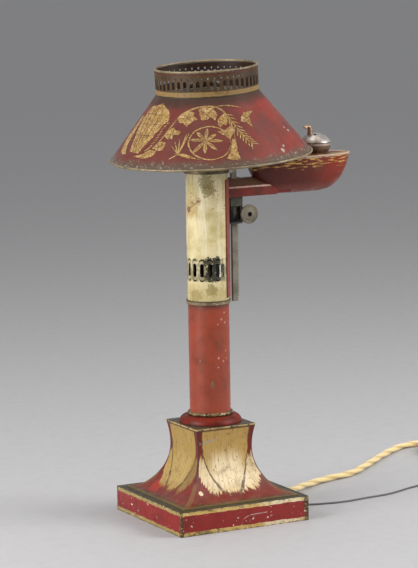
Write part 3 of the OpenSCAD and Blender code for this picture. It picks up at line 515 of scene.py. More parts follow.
@dataclass(frozen=True)
class ColumnPaint(Worn):
    """Salmon paint with chips, olive marks, faint smears and a dark top."""

    chip: Colour = (0.58, 0.37, 0.29)
    gold: Colour = (0.42, 0.25, 0.07)
    olive: Colour = (0.15, 0.11, 0.05)
    smear: Colour = (0.17, 0.06, 0.025)
    dark: Colour = (0.07, 0.022, 0.014)
    radius: float = 21.5
    top: float = 226.7
    chips: tuple[tuple[float, float, float], ...] = (
        (-80.0, 211.1, 1.4), (-67.0, 207.6, 1.2), (-69.5, 218.0, 1.2), (-92.0, 206.3, 0.9),
        (-91.0, 170.7, 1.4), (-75.0, 167.2, 1.1), (-92.0, 160.9, 0.9), (-145.0, 168.1, 0.8),
    )
    golds: tuple[tuple[float, float, float], ...] = ((-65.5, 177.6, 1.2), (-63.7, 169.8, 1.4))
    olives: tuple[tuple[float, float, float], ...] = ((-109.5, 142.9, 2.4), (-109.5, 145.6, 1.7))
    pits: tuple[tuple[float, float, float], ...] = ((-109.0, 142.2, 1.0),)

    def colour(self, place: Value) -> Value:
        """Lays smears, marks and the dark top over the aged ground."""
        made = self.aged(place, self.ground)
        rubbed = place.streaks(across=160.0, along=45.0, low=0.5, high=0.75)
        made = (rubbed * 0.55).mix(made, self.smear)
        ragged = place.parts()[2] + place.noise(130.0) * 0.008
        high = ragged.step((self.top - 3.5) * MM, (self.top + 3.5) * MM)
        made = (high * 0.7).mix(made, self.dark)
        kinds = (
            (self.chips, self.chip, 0.5), (self.golds, self.gold, 0.7), (self.olives, self.olive, 0.8),
            (self.pits, self.dark, 0.8),
        )
        for marks, tint, weight in kinds:
            spots = [
                (polar(self.radius * MM, angle, height * MM), radius * MM) for angle, height, radius in marks
            ]
            made = self.dotted(place, made, spots, weight, tint)
        return made


@dataclass(frozen=True)
class CreamPaint(Worn):
    """Cream paint with olive stains, brown scratches and soot round the pierced band, pale streaks that are
    partly painted highlights, an uncut slot painted black as shade and a soot-black inside that is also
    painted shade.
    """

    stain: Colour = (0.36, 0.26, 0.075)
    clean_cream_and_highlight: Colour = (0.85, 0.78, 0.58)
    scratch: Colour = (0.13, 0.055, 0.02)
    soot: Colour = (0.013, 0.012, 0.01)
    olive: Colour = (0.19, 0.14, 0.035)
    band_z: float = 0.2631
    scratch_z: float = 0.33
    blotches: tuple[Spot, ...] = (
        ((-0.0109, -0.0189, 0.3555), 0.0085), ((-0.0085, -0.0201, 0.347), 0.0075),
        ((-0.0196, -0.0096, 0.236), 0.008), ((-0.0068, -0.0207, 0.242), 0.007),
    )
    smoke: tuple[Spot, ...] = (
        ((-0.01, -0.0194, 0.2723), 0.0052), ((-0.0019, -0.0218, 0.2719), 0.006),
        ((-0.0102, -0.0193, 0.2577), 0.0052), ((-0.0022, -0.0217, 0.2563), 0.006),
        ((0.0012, -0.0218, 0.2642), 0.0058), ((-0.0063, -0.0209, 0.265), 0.0062),
    )
    burns: tuple[Spot, ...] = (
        ((-0.0218, -0.0006, 0.3264), 0.004), ((-0.0173, -0.0134, 0.3351), 0.0018),
        ((-0.0205, -0.0065, 0.3335), 0.0016),
    )
    ochre: Colour = (0.4, 0.23, 0.065)
    cut: tuple[Flat, Flat] = ((0.0007, 0.3242), (-0.0143, 0.3356))
    radius: float = 0.02185
    inside: float = 0.0212
    frame: float = -83.0
    painted_dark_slot: float = -71.0
    frame_dots: int = 7
    frame_step: float = 0.0018

    def scored(self, place: Value) -> Value:
        """Gives the slanting scratch on the left of the jacket."""
        x, y, z = place.parts()
        (y0, z0), (y1, z1) = self.cut
        run = (y - y0) * ((z1 - z0) / (y1 - y0))
        line = z.line(middle=run + z0, width=0.0026)
        reach = z.band(low=z0, high=z1, soft=0.001)
        left = x < -0.012
        return line * reach * left

    def colour(self, place: Value) -> Value:
        """Lays stains, scratches, soot, painted highlights and painted shade over the cream."""
        z = place.parts()[2]
        made = self.aged(place, self.ground)
        # pale vertical streaks: partly bare cream, partly painted highlights of the glossy paint
        bare = place.streaks(across=120.0, along=10.0, low=0.5, high=0.7)
        made = (bare * 0.6).mix(made, self.clean_cream_and_highlight)
        stains = place.cloud(scale=40.0, low=0.47, high=0.72)
        runs = place.streaks(across=210.0, along=16.0, low=0.52, high=0.74)
        made = (stains * 0.7).mix(made, self.stain)
        made = (runs * 0.65).mix(made, self.stain)
        made = self.dotted(place, made, self.blotches, 0.7, self.olive)
        marks = place.streaks(across=150.0, along=500.0, low=0.63, high=0.67)
        high = z.band(low=self.scratch_z, high=0.352, soft=0.012)
        made = (marks * high).mix(made, self.scratch)
        made = (self.scored(place) * 0.75).mix(made, self.scratch)
        for point, radius in self.burns:
            spot = place.spot(point=point, radius=2.6 * radius)
            made = (spot * 0.5).mix(made, self.ochre)
            spot = place.spot(point=point, radius=radius)
            made = (spot * 0.7).mix(made, self.scratch)
        foot = 1.0 - z.step(0.238, 0.254)
        made = (foot * 0.45).mix(made, self.stain)
        ragged = z + place.noise(160.0) * 0.008
        sooty = ragged.band(low=self.band_z - 0.006, high=self.band_z + 0.014, soft=0.003)
        patchy = place.cloud(scale=170.0, low=0.32, high=0.55)
        made = (sooty * patchy * 0.6).mix(made, self.soot)
        made = self.dotted(place, made, self.smoke, 0.92, self.soot)
        heights = [
            self.band_z + (dot - self.frame_dots / 2) * self.frame_step for dot in range(self.frame_dots)
        ]
        # a slot that is not cut is painted black as the shade of its opening; beside it a pale frame of paint
        for angle, radius, tint in ((self.painted_dark_slot, 0.0019, self.soot), (self.frame, 0.0011, self.clean_cream_and_highlight)):
            dots = [(polar(self.radius, angle, height), radius) for height in heights]
            made = self.dotted(place, made, dots, 0.8, tint)
        # the jacket's inner wall is soot-black, which also stands as painted shade inside the jacket
        x, y, _ = place.parts()
        out = x * x + y * y
        soot_and_shade_inside = out < self.inside**2
        return soot_and_shade_inside.mix(made, self.soot)


@dataclass(frozen=True)
class PlinthPaint(Worn):
    """Crimson sides between gilt stripes, and a dark worn border round the top; the stripes on the left face
    are darkened as painted shade.
    """

    gilt: Colour = (0.5, 0.33, 0.1)
    border: Colour = (0.04, 0.031, 0.015)
    foot: Colour = (0.14, 0.022, 0.012)
    chip: Colour = (0.68, 0.62, 0.52)
    cream: Colour = (0.74, 0.62, 0.42)
    painted_shade_gilt: Colour = (0.2, 0.145, 0.06)
    scrape: Colour = (0.5, 0.4, 0.35)
    tarnish: Colour = (0.1, 0.072, 0.027)
    bright: Colour = (0.66, 0.52, 0.26)
    half: float = 0.075
    top: float = 0.026
    stripe: float = 0.0044
    scratch_x: float = -0.0047
    scratch_len: float = 0.0309
    scratch: tuple[Flat, ...] = ((0.0, 0.29), (0.08, 0.525), (0.285, 0.68), (0.59, 0.72), (1.0, 0.735))

    def scraped(self, place: Value) -> Value:
        """Gives the curved scratch on the front side."""
        x, y, z = place.parts()
        along = (x - self.scratch_x) / self.scratch_len
        middle = along.curve(self.scratch) * 0.02
        line = z.line(middle=middle, width=0.0014) * place.cloud(scale=230.0, low=0.36, high=0.5)
        reach = along.band(low=0.02, high=0.95, soft=0.05)
        front = y < 0.002 - self.half
        return line * reach * front

    def colour(self, place: Value) -> Value:
        """Paints sides and top, then wears the edges."""
        x, y, z = place.parts()
        wide, slim = abs(x).maximum(abs(y)), abs(x).minimum(abs(y))
        wander = place.noise(70.0) - 0.5
        level = z + (place.noise(150.0, 5.0) - 0.5) * 0.0035
        lower = 1.0 - level.step(self.stripe - 0.0005, self.stripe)
        upper = level.step(self.top - self.stripe - 0.0002, self.top - self.stripe + 0.0003)
        rubbed = place.scaled((0.4, 0.4, 1.6)).cloud(scale=210.0, low=0.5, high=0.66)
        fleeced = place.cloud(scale=420.0, low=0.52, high=0.66)
        gold = (rubbed * 0.6).mix(self.gilt, self.border)
        gold = (fleeced * 0.6).mix(gold, self.bright)
        front = y < 0.002 - self.half
        rubbed_pale = x.band(low=0.028, high=0.06, soft=0.012)
        patch = place.cloud(scale=240.0, low=0.36, high=0.48)
        rubbed_pale = rubbed_pale * front * patch
        gold = (rubbed_pale * 0.75).mix(gold, self.cream)
        # painted shade: the gilt stripes of the left face are darkened
        left = x < 0.002 - self.half
        gold = (left * 0.6).mix(gold, self.painted_shade_gilt)
        rusty = x.band(low=-0.08, high=-0.034, soft=0.012)
        gone = place.cloud(scale=300.0, low=0.42, high=0.52)
        rusty = rusty * lower * (gone * front)
        gold = (rusty * 0.75).mix(gold, self.tarnish)
        sides = lower.maximum(upper).mix(self.aged(place, self.ground), gold)
        ragged = slim + wander * 0.008
        right = front * (x > 0.0) * 0.003
        corner = (ragged + right).step(self.half - 0.0042, self.half - 0.0018)
        specks = place.flecks(scale=480.0, amount=0.42)
        worn = specks.mix(self.border, self.gilt)
        sides = (corner * 0.8).mix(sides, worn)
        edge = z + (place.noise(190.0, 5.0) - 0.5) * 0.006
        low = 1.0 - edge.step(0.0, 0.0014)
        high = edge.step(self.top - 0.0016, self.top)
        sides = (low.maximum(high) * 0.75).mix(sides, self.border)
        chips = place.flecks(scale=260.0, amount=0.33)
        sides = chips.mix(sides, self.chip)
        sides = (self.scraped(place) * 0.7).mix(sides, self.scrape)
        inwards = self.half - wide
        reach = inwards + wander * 0.02
        dark = 1.0 - reach.step(0.012, 0.019)
        above = dark.mix(self.aged(place, self.foot), self.border)
        lost = place.flecks(scale=330.0, amount=0.39)
        above = (lost * dark * 0.8).mix(above, self.tarnish)
        return z.step(self.top - 0.0006, self.top - 0.0003).mix(sides, above)


@dataclass(frozen=True)
class PedestalPaint(Worn):
    """A great gilt petal and two corner leaves on each face, over a red ground, with painted shade on the
    faces across X and painted highlights.
    """

    gilt: Colour = (0.46, 0.29, 0.085)
    # darker gilt of the faces across X, painted shade
    shaded: Colour = (0.38, 0.245, 0.062)
    # pale: painted highlight on the gilt, and the pale under a chip
    pale: Colour = (0.8, 0.66, 0.42)
    brown: Colour = (0.16, 0.075, 0.022)
    line: Colour = (0.06, 0.028, 0.022)
    border: Colour = (0.04, 0.031, 0.015)
    olive: Colour = (0.2, 0.145, 0.05)
    # bright red of a painted highlight
    patch: Colour = (0.42, 0.03, 0.014)
    grey: Colour = (0.33, 0.3, 0.26)
    foot_z: float = 0.026
    rise: float = 0.0728
    vein: tuple[Flat, ...] = (
        (0.0, 0.02), (0.1, 0.13), (0.14, 0.24), (0.28, 0.44), (0.43, 0.64), (0.6, 0.8), (0.7, 0.83),
        (1.0, 0.82),
    )
    hem: tuple[Flat, ...] = (
        (0.0, 0.1), (0.18, 0.125), (0.24, 0.15), (0.3, 0.12), (0.45, 0.125), (0.6, 0.17), (0.75, 0.24),
        (0.87, 0.33), (1.0, 0.45)
    )
    bound: tuple[Flat, ...] = (
        (0.0, 0.35), (0.12, 0.5), (0.2, 0.64), (0.28, 0.77), (0.36, 0.89), (0.55, 0.985), (0.62, 1.05),
        (1.0, 1.05),
    )
    red_highlight_spot: Place = (-0.0517, 0.0257, 0.0323)
    chip_spot: Place = (-0.0373, -0.0475, 0.0362)
    cut_left: float = -0.0298
    cut_right: float = -0.0111
    cut_z: float = 0.0848
    cut_slope: float = 0.1925

    def scratched(self, place: Value) -> Value:
        """Gives the slanting scratch near the top of the front face."""
        x, y, z = place.parts()
        run = (x - self.cut_left) * self.cut_slope
        line = z.line(middle=run + self.cut_z, width=0.0046)
        line = line * place.cloud(scale=300.0, low=0.4, high=0.55)
        reach = x.band(low=self.cut_left, high=self.cut_right, soft=0.002)
        front = y < -0.028
        return line * reach * front

    def colour(self, place: Value) -> Value:
        """Paints petal, leaves, veins and ridges."""
        x, y, z = place.parts()
        wide, slim = abs(x).maximum(abs(y)), abs(x).minimum(abs(y))
        up = (z - self.foot_z) / self.rise
        fan = (x / wide).joined(y / wide, up)
        wander = place.noise(80.0) - 0.5
        aside = slim / wide + wander * 0.08
        below = 1.0 - up
        vein = up.curve(self.vein)
        torn = fan.streaks(across=17.0, along=1.2, low=0.3, high=0.7)
        facing = (abs(y) - abs(x)).step(-0.001, 0.001)
        spread = facing * (x > 0.0) * 0.12
        kept = aside - spread
        edge = kept.curve(self.hem) + torn * 0.085
        gilded = (up - edge).step(-0.055, -0.03)
        outside = (aside - vein).step(0.0, 0.02)
        reach = up.curve(self.bound) + spread
        beyond = aside + torn * 0.1 - reach
        gilded = gilded * (1.0 - beyond.step(0.06, 0.09))
        tips = up + torn * 0.09
        strip = outside * tips.step(0.6, 0.68)
        gap = 0.045 + below ** 3.0 * 0.13
        parting = aside.line(middle=vein, width=gap)
        fibres = fan.streaks(across=30.0, along=2.5, low=0.5, high=0.74)
        flecks = place.scaled((1.0, 1.0, 0.35)).flecks(scale=420.0, amount=0.4)
        streaky = fan.scaled((26.0, 26.0, 3.0)).noise(1.0) * 0.3
        # painted highlight: a pale band low in the middle of each face, strong on the front and back faces
        # and weak on the faces across X, also on the corner leaves
        light = (up + streaky).band(low=0.42, high=0.62, soft=0.28)
        bright = light * (1.0 - aside.step(0.3, 0.75))
        bright = bright * facing.blend(0.12, 1.0)
        # painted shade: the faces across X take the darker shaded gilt
        gold = (bright * 0.85).mix(facing.mix(self.shaded, self.gilt), self.pale)
        gold = (outside * light * facing.blend(0.05, 0.6)).mix(gold, self.pale)
        stains = place.cloud(scale=75.0, low=0.5, high=0.8)
        gold = (stains * 0.65).mix(gold, self.brown)
        # painted shade: the leaves on the front half of the faces across X are darkened to brown
        near = (y < 0.0) * (1.0 - facing)
        gold = (near * outside * 0.62).mix(gold, self.brown)
        gold = (fibres * 0.62).mix(gold, self.brown)
        gold = (flecks * 0.7).mix(gold, self.brown)
        red = self.aged(place, self.ground)
        # painted highlight: a bright red spot low on the left face
        shine = place.spot(point=self.red_highlight_spot, radius=0.0105)
        red = (shine * 0.5).mix(red, self.patch)
        dark = (wide + wander * 0.02).step(0.057, 0.068)
        tarnish = place.flecks(scale=360.0, amount=0.42)
        red = dark.mix(red, (tarnish * 0.8).mix(self.border, self.olive))
        feather = up.band(low=0.05, high=0.24, soft=0.05)
        frond = feather * aside.step(0.89, 0.97) * torn
        red = (frond * 0.7).mix(red, self.olive)
        made = gilded.mix(red, gold)
        made = strip.mix(made, red)
        whole = place.cloud(scale=140.0, low=0.38, high=0.52).blend(0.25, 0.85)
        made = (parting * gilded * whole).mix(made, self.line)
        ridge = aside.step(0.945, 0.985) * up.step(0.2, 0.3)
        made = (ridge * 0.85).mix(made, self.line)
        made = (up.step(0.972, 0.985) * 0.8).mix(made, self.line)
        made = (self.scratched(place) * 0.7).mix(made, self.grey)
        hem = 1.0 - up.step(0.01, 0.02)
        made = (hem * 0.7).mix(made, self.olive)
        chip = place.spot(point=self.chip_spot, radius=0.003)
        return (chip * 0.8).mix(made, self.pale)


@dataclass(frozen=True)
class CapPaint(Worn):
    """Gilt edge with chips, dark worn top."""

    top: float = 0.1008
    dark: Colour = (0.055, 0.035, 0.017)

    def colour(self, place: Value) -> Value:
        """Darkens the top face."""
        above = place.parts()[2].step(self.top - 0.0004, self.top - 0.0001)
        return above.mix(self.aged(place, self.ground), self.dark)


@dataclass(frozen=True)
class ShadeLie:
    """The leaning frame of the shade, and points on its cone."""

    middle: Place = (6.2, 1.0, 380.7)
    lean_back: float = 1.4
    lean_side: float = -3.3
    foot_r: float = 104.5
    slope: float = 0.7802
    cone_low: float = 1.4
    cone_high: float = 65.5
    collar_r: float = 53.4

    def turn(self) -> Euler:
        """Gives the shade's turn."""
        return Euler((math.radians(self.lean_back), math.radians(self.lean_side), 0.0), "XYZ")

    def matrix(self) -> Matrix:
        """Takes a point of the shade's own frame to the lamp's frame."""
        return Matrix.Translation(Vector(self.middle) * MM) @ self.turn().to_matrix().to_4x4()

    def on_cone(self, angle: float, height: float, lift: float) -> Vector:
        """Gives a point on the cone.

        Args:
            angle: degrees about the shade's axis.
            height: millimetres above the lower edge.
            lift: millimetres out of the painted face.

        Returns:
            The point in the lamp's frame, in metres.
        """
        way = math.radians(angle)
        out = Vector((math.cos(way), math.sin(way), self.slope)).normalized()
        r = self.foot_r - self.slope * height
        flat = Vector((r * math.cos(way), r * math.sin(way), height)) + lift * out
        return self.matrix() @ (flat * MM)

    def own(self, place: Value) -> Value:
        """Gives the place of a shaded point in the shade's own frame."""
        made = place.tree.node("ShaderNodeMapping", vector_type="TEXTURE")
        lie = {"Location": Vector(self.middle) * MM, "Rotation": self.turn(), "Vector": place}
        return place.tree.fill(made, lie)


SHADE = ShadeLie()


@dataclass(frozen=True)
class ShadePaint(Worn):
    """Red-brown ground that is oxidised at the top, brighter on one side and worn at the rim."""

    bright: Colour = (0.24, 0.027, 0.015)
    oxide: Colour = (0.034, 0.019, 0.01)
    rim: Colour = (0.082, 0.056, 0.035)
    bare: Colour = (0.42, 0.39, 0.32)
    inside: Colour = (0.3, 0.27, 0.22)
    chip: Colour = (0.33, 0.31, 0.27)
    chips: tuple[tuple[float, float, float], ...] = (
        (291.7, 10.1, 2.6), (294.5, 14.0, 1.6), (313.7, 25.2, 1.7), (311.0, 29.0, 1.2)
    )

    def colour(self, place: Value) -> Value:
        """Paints the cone by height and side."""
        x, y, h = SHADE.own(place).parts()
        wander = place.noise(45.0, 6.0) - 0.5
        side = y.angle(x)
        # a band round the cone, on the side towards the key light, is painted a brighter red
        brighter_side = (side + wander * 0.7).band(low=-1.4, high=-0.2, soft=0.3)
        runs = place.streaks(across=75.0, along=18.0, low=0.35, high=0.75)
        ground = brighter_side.mix(self.ground, self.bright)
        made = self.aged(place, (runs * 0.5).mix(ground, self.deep))
        level = h + wander * 0.012
        made = (level.step(0.053, 0.063) * 0.85).mix(made, self.oxide)
        low = 1.0 - level.step(0.002, 0.0108)
        made = (low * 0.9).mix(made, self.rim)
        lost = place.cloud(scale=330.0, low=0.55, high=0.7)
        made = (lost * low * 0.75).mix(made, self.bare)
        for angle, height, radius in self.chips:
            spot = place.spot(point=SHADE.on_cone(angle, height, 0.0), radius=radius * MM)
            made = spot.mix(made, self.chip)
        r = (x * x + y * y).root()
        wall = SHADE.foot_r * MM - 0.0006 - h * SHADE.slope
        return (r < wall).mix(made, self.aged(place, self.inside))


@dataclass(frozen=True)
class Gilding(Worn):
    """Gold leaf that is worn through to the red in fine stipples."""

    pale: Colour = (0.53, 0.385, 0.18)
    through: Colour = (0.12, 0.03, 0.016)

    def colour(self, place: Value) -> Value:
        """Stipples the gold."""
        shine = place.cloud(scale=260.0, low=0.45, high=0.65)
        made = (shine * 0.7).mix(self.aged(place, self.ground), self.pale)
        for scale, amount in ((380.0, 0.4), (850.0, 0.46)):
            worn = place.flecks(scale=scale, amount=amount)
            made = (worn * 0.8).mix(made, self.through)
        return made


@dataclass(frozen=True)
class CollarPaint(Worn):
    """Gilt foot band, dark arcade, red stripe at the top and a dark inside."""

    gilt: Colour = (0.24, 0.15, 0.055)
    olive: Colour = (0.04, 0.031, 0.015)
    stripe: Colour = (0.08, 0.025, 0.013)
    inside: Colour = (0.026, 0.011, 0.005)

    def colour(self, place: Value) -> Value:
        """Paints the collar by height."""
        x, y, h = SHADE.own(place).parts()
        wander = place.noise(130.0) - 0.5
        level = h + wander * 0.0016
        made = self.aged(place, self.ground)
        rubbed = place.cloud(scale=240.0, low=0.5, high=0.7)
        gold = (rubbed * 0.7).mix(self.gilt, self.ground)
        made = (1.0 - level.step(0.0668, 0.0673)).mix(made, self.olive)
        made = level.band(low=0.0673, high=0.0716, soft=0.0005).mix(made, gold)
        made = (level.step(0.0882, 0.0888) * 0.85).mix(made, self.stripe)
        r = (x * x + y * y).root()
        return (r < SHADE.collar_r * MM - 0.0004).mix(made, self.inside)


@dataclass(frozen=True)
class Twill(Finish):
    """Silk or cotton thread laid along the piece's own UV map."""

    thread: Colour = (0.6, 0.43, 0.14)
    shade: Colour = (0.3, 0.18, 0.04)
    pitch: float = 900.0
    sheen: float = 0.3

    def thread_map(self, place: Value) -> tuple[Value, ...]:
        """Gives the length along the piece and the turn round it."""
        return Value(place.tree, place.tree.node("ShaderNodeUVMap").outputs[0]).parts()

    def weave(self, place: Value) -> Value:
        """Gives crossing threads from the UV map."""
        u, v, _ = self.thread_map(place)
        along = u * self.pitch
        round_ = v * 24.0
        first = ((along + round_) * math.tau).sine()
        second = ((along - round_) * math.tau).sine()
        crossed = (first + second) * 0.25
        return crossed + 0.5

    def colour(self, place: Value) -> Value:
        """Shades the thread in its hollows and in faded patches."""
        woven = (self.weave(place) * 0.55).mix(self.thread, self.shade)
        faded = place.cloud(scale=90.0, low=0.45, high=0.75)
        return (faded * 0.35).mix(woven, self.shade)

    def height(self, place: Value) -> Value:
        """Raises the threads."""
        return self.weave(place)

    def extra(self, shader: bpy.types.Node, place: Value) -> None:
        """Adds the sheen of thread."""
        shader.inputs["Sheen Weight"].default_value = self.sheen


@dataclass(frozen=True)
class SilkFlex(Twill):
    """Silk-covered strands with dark grooves between them."""

    strands: float = 2.0
    twist: float = 0.06
    shadow: Colour = (0.46, 0.3, 0.09)

    def colour(self, place: Value) -> Value:
        """Darkens the grooves between the twisted strands."""
        u, v, _ = self.thread_map(place)
        phase = (v - u / self.twist) * self.strands
        wave = (phase * math.tau).cosine()
        groove = 1.0 - wave.step(-0.95, 0.1)
        made = Twill.colour(self, place)
        return (groove * 0.6).mix(made, self.shadow)


@dataclass(frozen=True)
class TurnedBrass(Worn):
    """The knob's brass, turned in fine rings round a hole that is painted black as painted shade."""

    axis_x: float = 0.04
    axis_z: float = 0.3186
    hole: float = 0.0025
    dark: Colour = (0.006, 0.006, 0.005)

    def colour(self, place: Value) -> Value:
        """Paints the hole black as painted shade, and darkens the turning lines."""
        x, _, z = place.parts()
        a, b = x - self.axis_x, z - self.axis_z
        r = (a * a + b * b).root()
        rings = (r * 9000.0).sine()
        made = (rings.step(0.2, 1.0) * 0.35).mix(self.aged(place, self.ground), self.deep)
        return (r < self.hole).mix(made, self.dark)


@dataclass(frozen=True)
class ClearGlass(Worn):
    """Thin bulb glass."""

    def extra(self, shader: bpy.types.Node, place: Value) -> None:
        """Lets light through."""
        shader.inputs["Transmission Weight"].default_value = 1.0
        shader.inputs["IOR"].default_value = 1.08


class Finishes:
    """All the lamp's finishes, each made once."""

    salmon = ColumnPaint(
        "salmon_paint", ground=(0.285, 0.042, 0.015), deep=(0.17, 0.026, 0.008), fleck=(0.09, 0.045, 0.02),
        fleck_amount=0.35, cloud_scale=35.0, cloud_high=0.8, rough_low=0.28, rough_high=0.45,
    )
    # the arm's thin pale band along its eave is a painted highlight; above it a darker brown band over the
    # roof
    arm = Marked(
        "arm_red", ground=(0.155, 0.018, 0.01), deep=(0.075, 0.013, 0.008), fleck=(0.3, 0.14, 0.08),
        specular=0.25, bands=((0.3478, 0.3556, (0.085, 0.05, 0.028)), (0.3458, 0.3472, (0.5, 0.31, 0.23))),
    )
    saddle = Worn(
        "saddle_red", ground=(0.24, 0.052, 0.036), deep=(0.13, 0.022, 0.014), fleck=(0.4, 0.27, 0.18),
        fleck_amount=0.33
    )
    orange = Marked(
        "torus_red", ground=(0.175, 0.01, 0.002), deep=(0.05, 0.008, 0.003), fleck=(0.3, 0.19, 0.09),
        bands=((0.1, 0.1017, (0.02, 0.012, 0.007)),), specular=0.2, dust_amount=0.05,
    )
    hull = HullPaint(
        "hull_red", ground=(0.2, 0.02, 0.008), deep=(0.1, 0.012, 0.006), rough_low=0.22, cloud_high=0.85,
        specular=0.28,
    )
    cream = CreamPaint(
        "cream_paint", ground=(0.68, 0.58, 0.33), deep=(0.5, 0.4, 0.17), fleck=(0.3, 0.16, 0.06),
        fleck_amount=0.31, rough_low=0.25, rough_high=0.45,
    )
    plinth = PlinthPaint(
        "plinth_paint", ground=(0.235, 0.018, 0.015), deep=(0.12, 0.012, 0.009), fleck=(0.07, 0.03, 0.02),
        cloud_high=0.85, specular=0.3,
    )
    pedestal = PedestalPaint(
        "pedestal_paint", ground=(0.17, 0.018, 0.009), deep=(0.075, 0.016, 0.01), fleck=(0.3, 0.2, 0.1),
        fleck_amount=0.27, cloud_high=0.85, specular=0.3,
    )
    cap = CapPaint(
        "cap_gilt", ground=(0.46, 0.31, 0.11), deep=(0.1, 0.05, 0.018), fleck=(0.05, 0.025, 0.012),
        fleck_amount=0.44, fleck_scale=330.0
    )
    shade = ShadePaint(
        "shade_japan", ground=(0.13, 0.022, 0.014), deep=(0.09, 0.021, 0.014), fleck=(0.2, 0.1, 0.065),
        fleck_amount=0.29, fleck_scale=900.0, cloud_scale=24.0, cloud_low=0.35, cloud_high=0.85,
        dust_amount=0.08, specular=0.28,
    )
    gilding = Gilding(
        "gilding", ground=(0.36, 0.225, 0.062), deep=(0.2, 0.105, 0.03), fleck=(0.2, 0.08, 0.03),
        fleck_scale=900.0, cloud_scale=140.0, metal=0.1, dust_amount=0.0, specular=0.3,
    )
    vein = Worn(
        "gilding_vein", ground=(0.13, 0.035, 0.018), deep=(0.08, 0.025, 0.015), fleck=(0.2, 0.08, 0.04)
    )
    collar = CollarPaint(
        "collar_paint", ground=(0.068, 0.038, 0.016), deep=(0.03, 0.018, 0.01), fleck=(0.24, 0.17, 0.09),
        fleck_amount=0.33, specular=0.25
    )
    wire = Worn(
        "rim_gilt", ground=(0.24, 0.18, 0.095), deep=(0.1, 0.07, 0.04), fleck=(0.44, 0.36, 0.24),
        fleck_amount=0.36, metal=0.3,
    )
    bead = Worn(
        "bead_gilt", ground=(0.24, 0.15, 0.055), deep=(0.05, 0.03, 0.014), fleck=(0.5, 0.38, 0.19),
        fleck_amount=0.4, fleck_scale=300.0, cloud_scale=190.0, cloud_low=0.36, cloud_high=0.56, metal=0.3,
    )
    # the burner's inner parts are soot-black, which also stands as painted shade inside the burner
    sooty = Worn(
        "soot_and_shade_brass", ground=(0.03, 0.025, 0.017), deep=(0.012, 0.01, 0.008), fleck=(0.08, 0.06, 0.035),
        metal=0.3, rough_low=0.6, rough_high=0.85,
    )
    joint = Marked(
        "joint_gilt", ground=(0.21, 0.155, 0.08), deep=(0.07, 0.045, 0.022), fleck=(0.6, 0.5, 0.34),
        fleck_amount=0.36, metal=0.2, bands=((0.2296, 0.232, (0.035, 0.022, 0.012)),),
    )
    deck = DeckPaint(
        "deck_red", ground=(0.12, 0.018, 0.009), deep=(0.07, 0.012, 0.007), fleck=(0.4, 0.28, 0.13),
        specular=0.28,
    )
    brass = Worn(
        "old_brass", ground=(0.2, 0.165, 0.095), deep=(0.07, 0.055, 0.03), fleck=(0.4, 0.33, 0.19), metal=0.7,
        rough_low=0.38, rough_high=0.6,
    )
    # the dark band on the rack, where it runs through the pinion housing, is painted shadow
    rack = Marked(
        "grey_brass", ground=(0.235, 0.218, 0.16), deep=(0.13, 0.117, 0.078), fleck=(0.4, 0.34, 0.14),
        metal=0.5, rough_low=0.4, rough_high=0.6, bands=((0.3085, 0.3262, (0.025, 0.023, 0.018)),),
    )
    # the pinion housing is near black as the painted shadow of the knob, with its own grey metal in bands at
    # its top and foot
    housing = Marked(
        "brass_with_painted_shadow", ground=(0.022, 0.02, 0.016), deep=(0.012, 0.011, 0.01), fleck=(0.12, 0.11, 0.08),
        metal=0.5, bands=((0.3262, 0.34, (0.13, 0.13, 0.09)), (0.30, 0.3089, (0.16, 0.15, 0.12))),
    )
    # the pinion's shaft end, seen in the knob's hole, carries a black spot as painted shade
    pinion = Marked(
        "pinion_brass", ground=(0.2, 0.165, 0.095), deep=(0.07, 0.055, 0.03), fleck=(0.4, 0.33, 0.19),
        metal=0.7, spots=(((0.04, -0.0185, 0.3186), 0.0036, (0.006, 0.006, 0.005)),),
    )
    knob = TurnedBrass(
        "turned_brass", ground=(0.2, 0.175, 0.125), deep=(0.09, 0.075, 0.05), fleck=(0.34, 0.3, 0.22),
        metal=0.45
    )
    # the black spot near the top of the lid paints a hole's shaded opening
    tin = Marked(
        "dull_tin", ground=(0.5, 0.45, 0.42), deep=(0.2, 0.13, 0.08), fleck=(0.2, 0.1, 0.05), cloud_low=0.42,
        cloud_high=0.62, metal=0.75, rough_low=0.25, rough_high=0.45,
        spots=(((0.1269, -0.0064, 0.3957), 0.0022, (0.004, 0.003, 0.002)),),
    )
    copper = Worn(
        "copper_curl", ground=(0.3, 0.175, 0.1), deep=(0.1, 0.045, 0.022), fleck=(0.55, 0.44, 0.3),
        fleck_amount=0.38, metal=0.6
    )
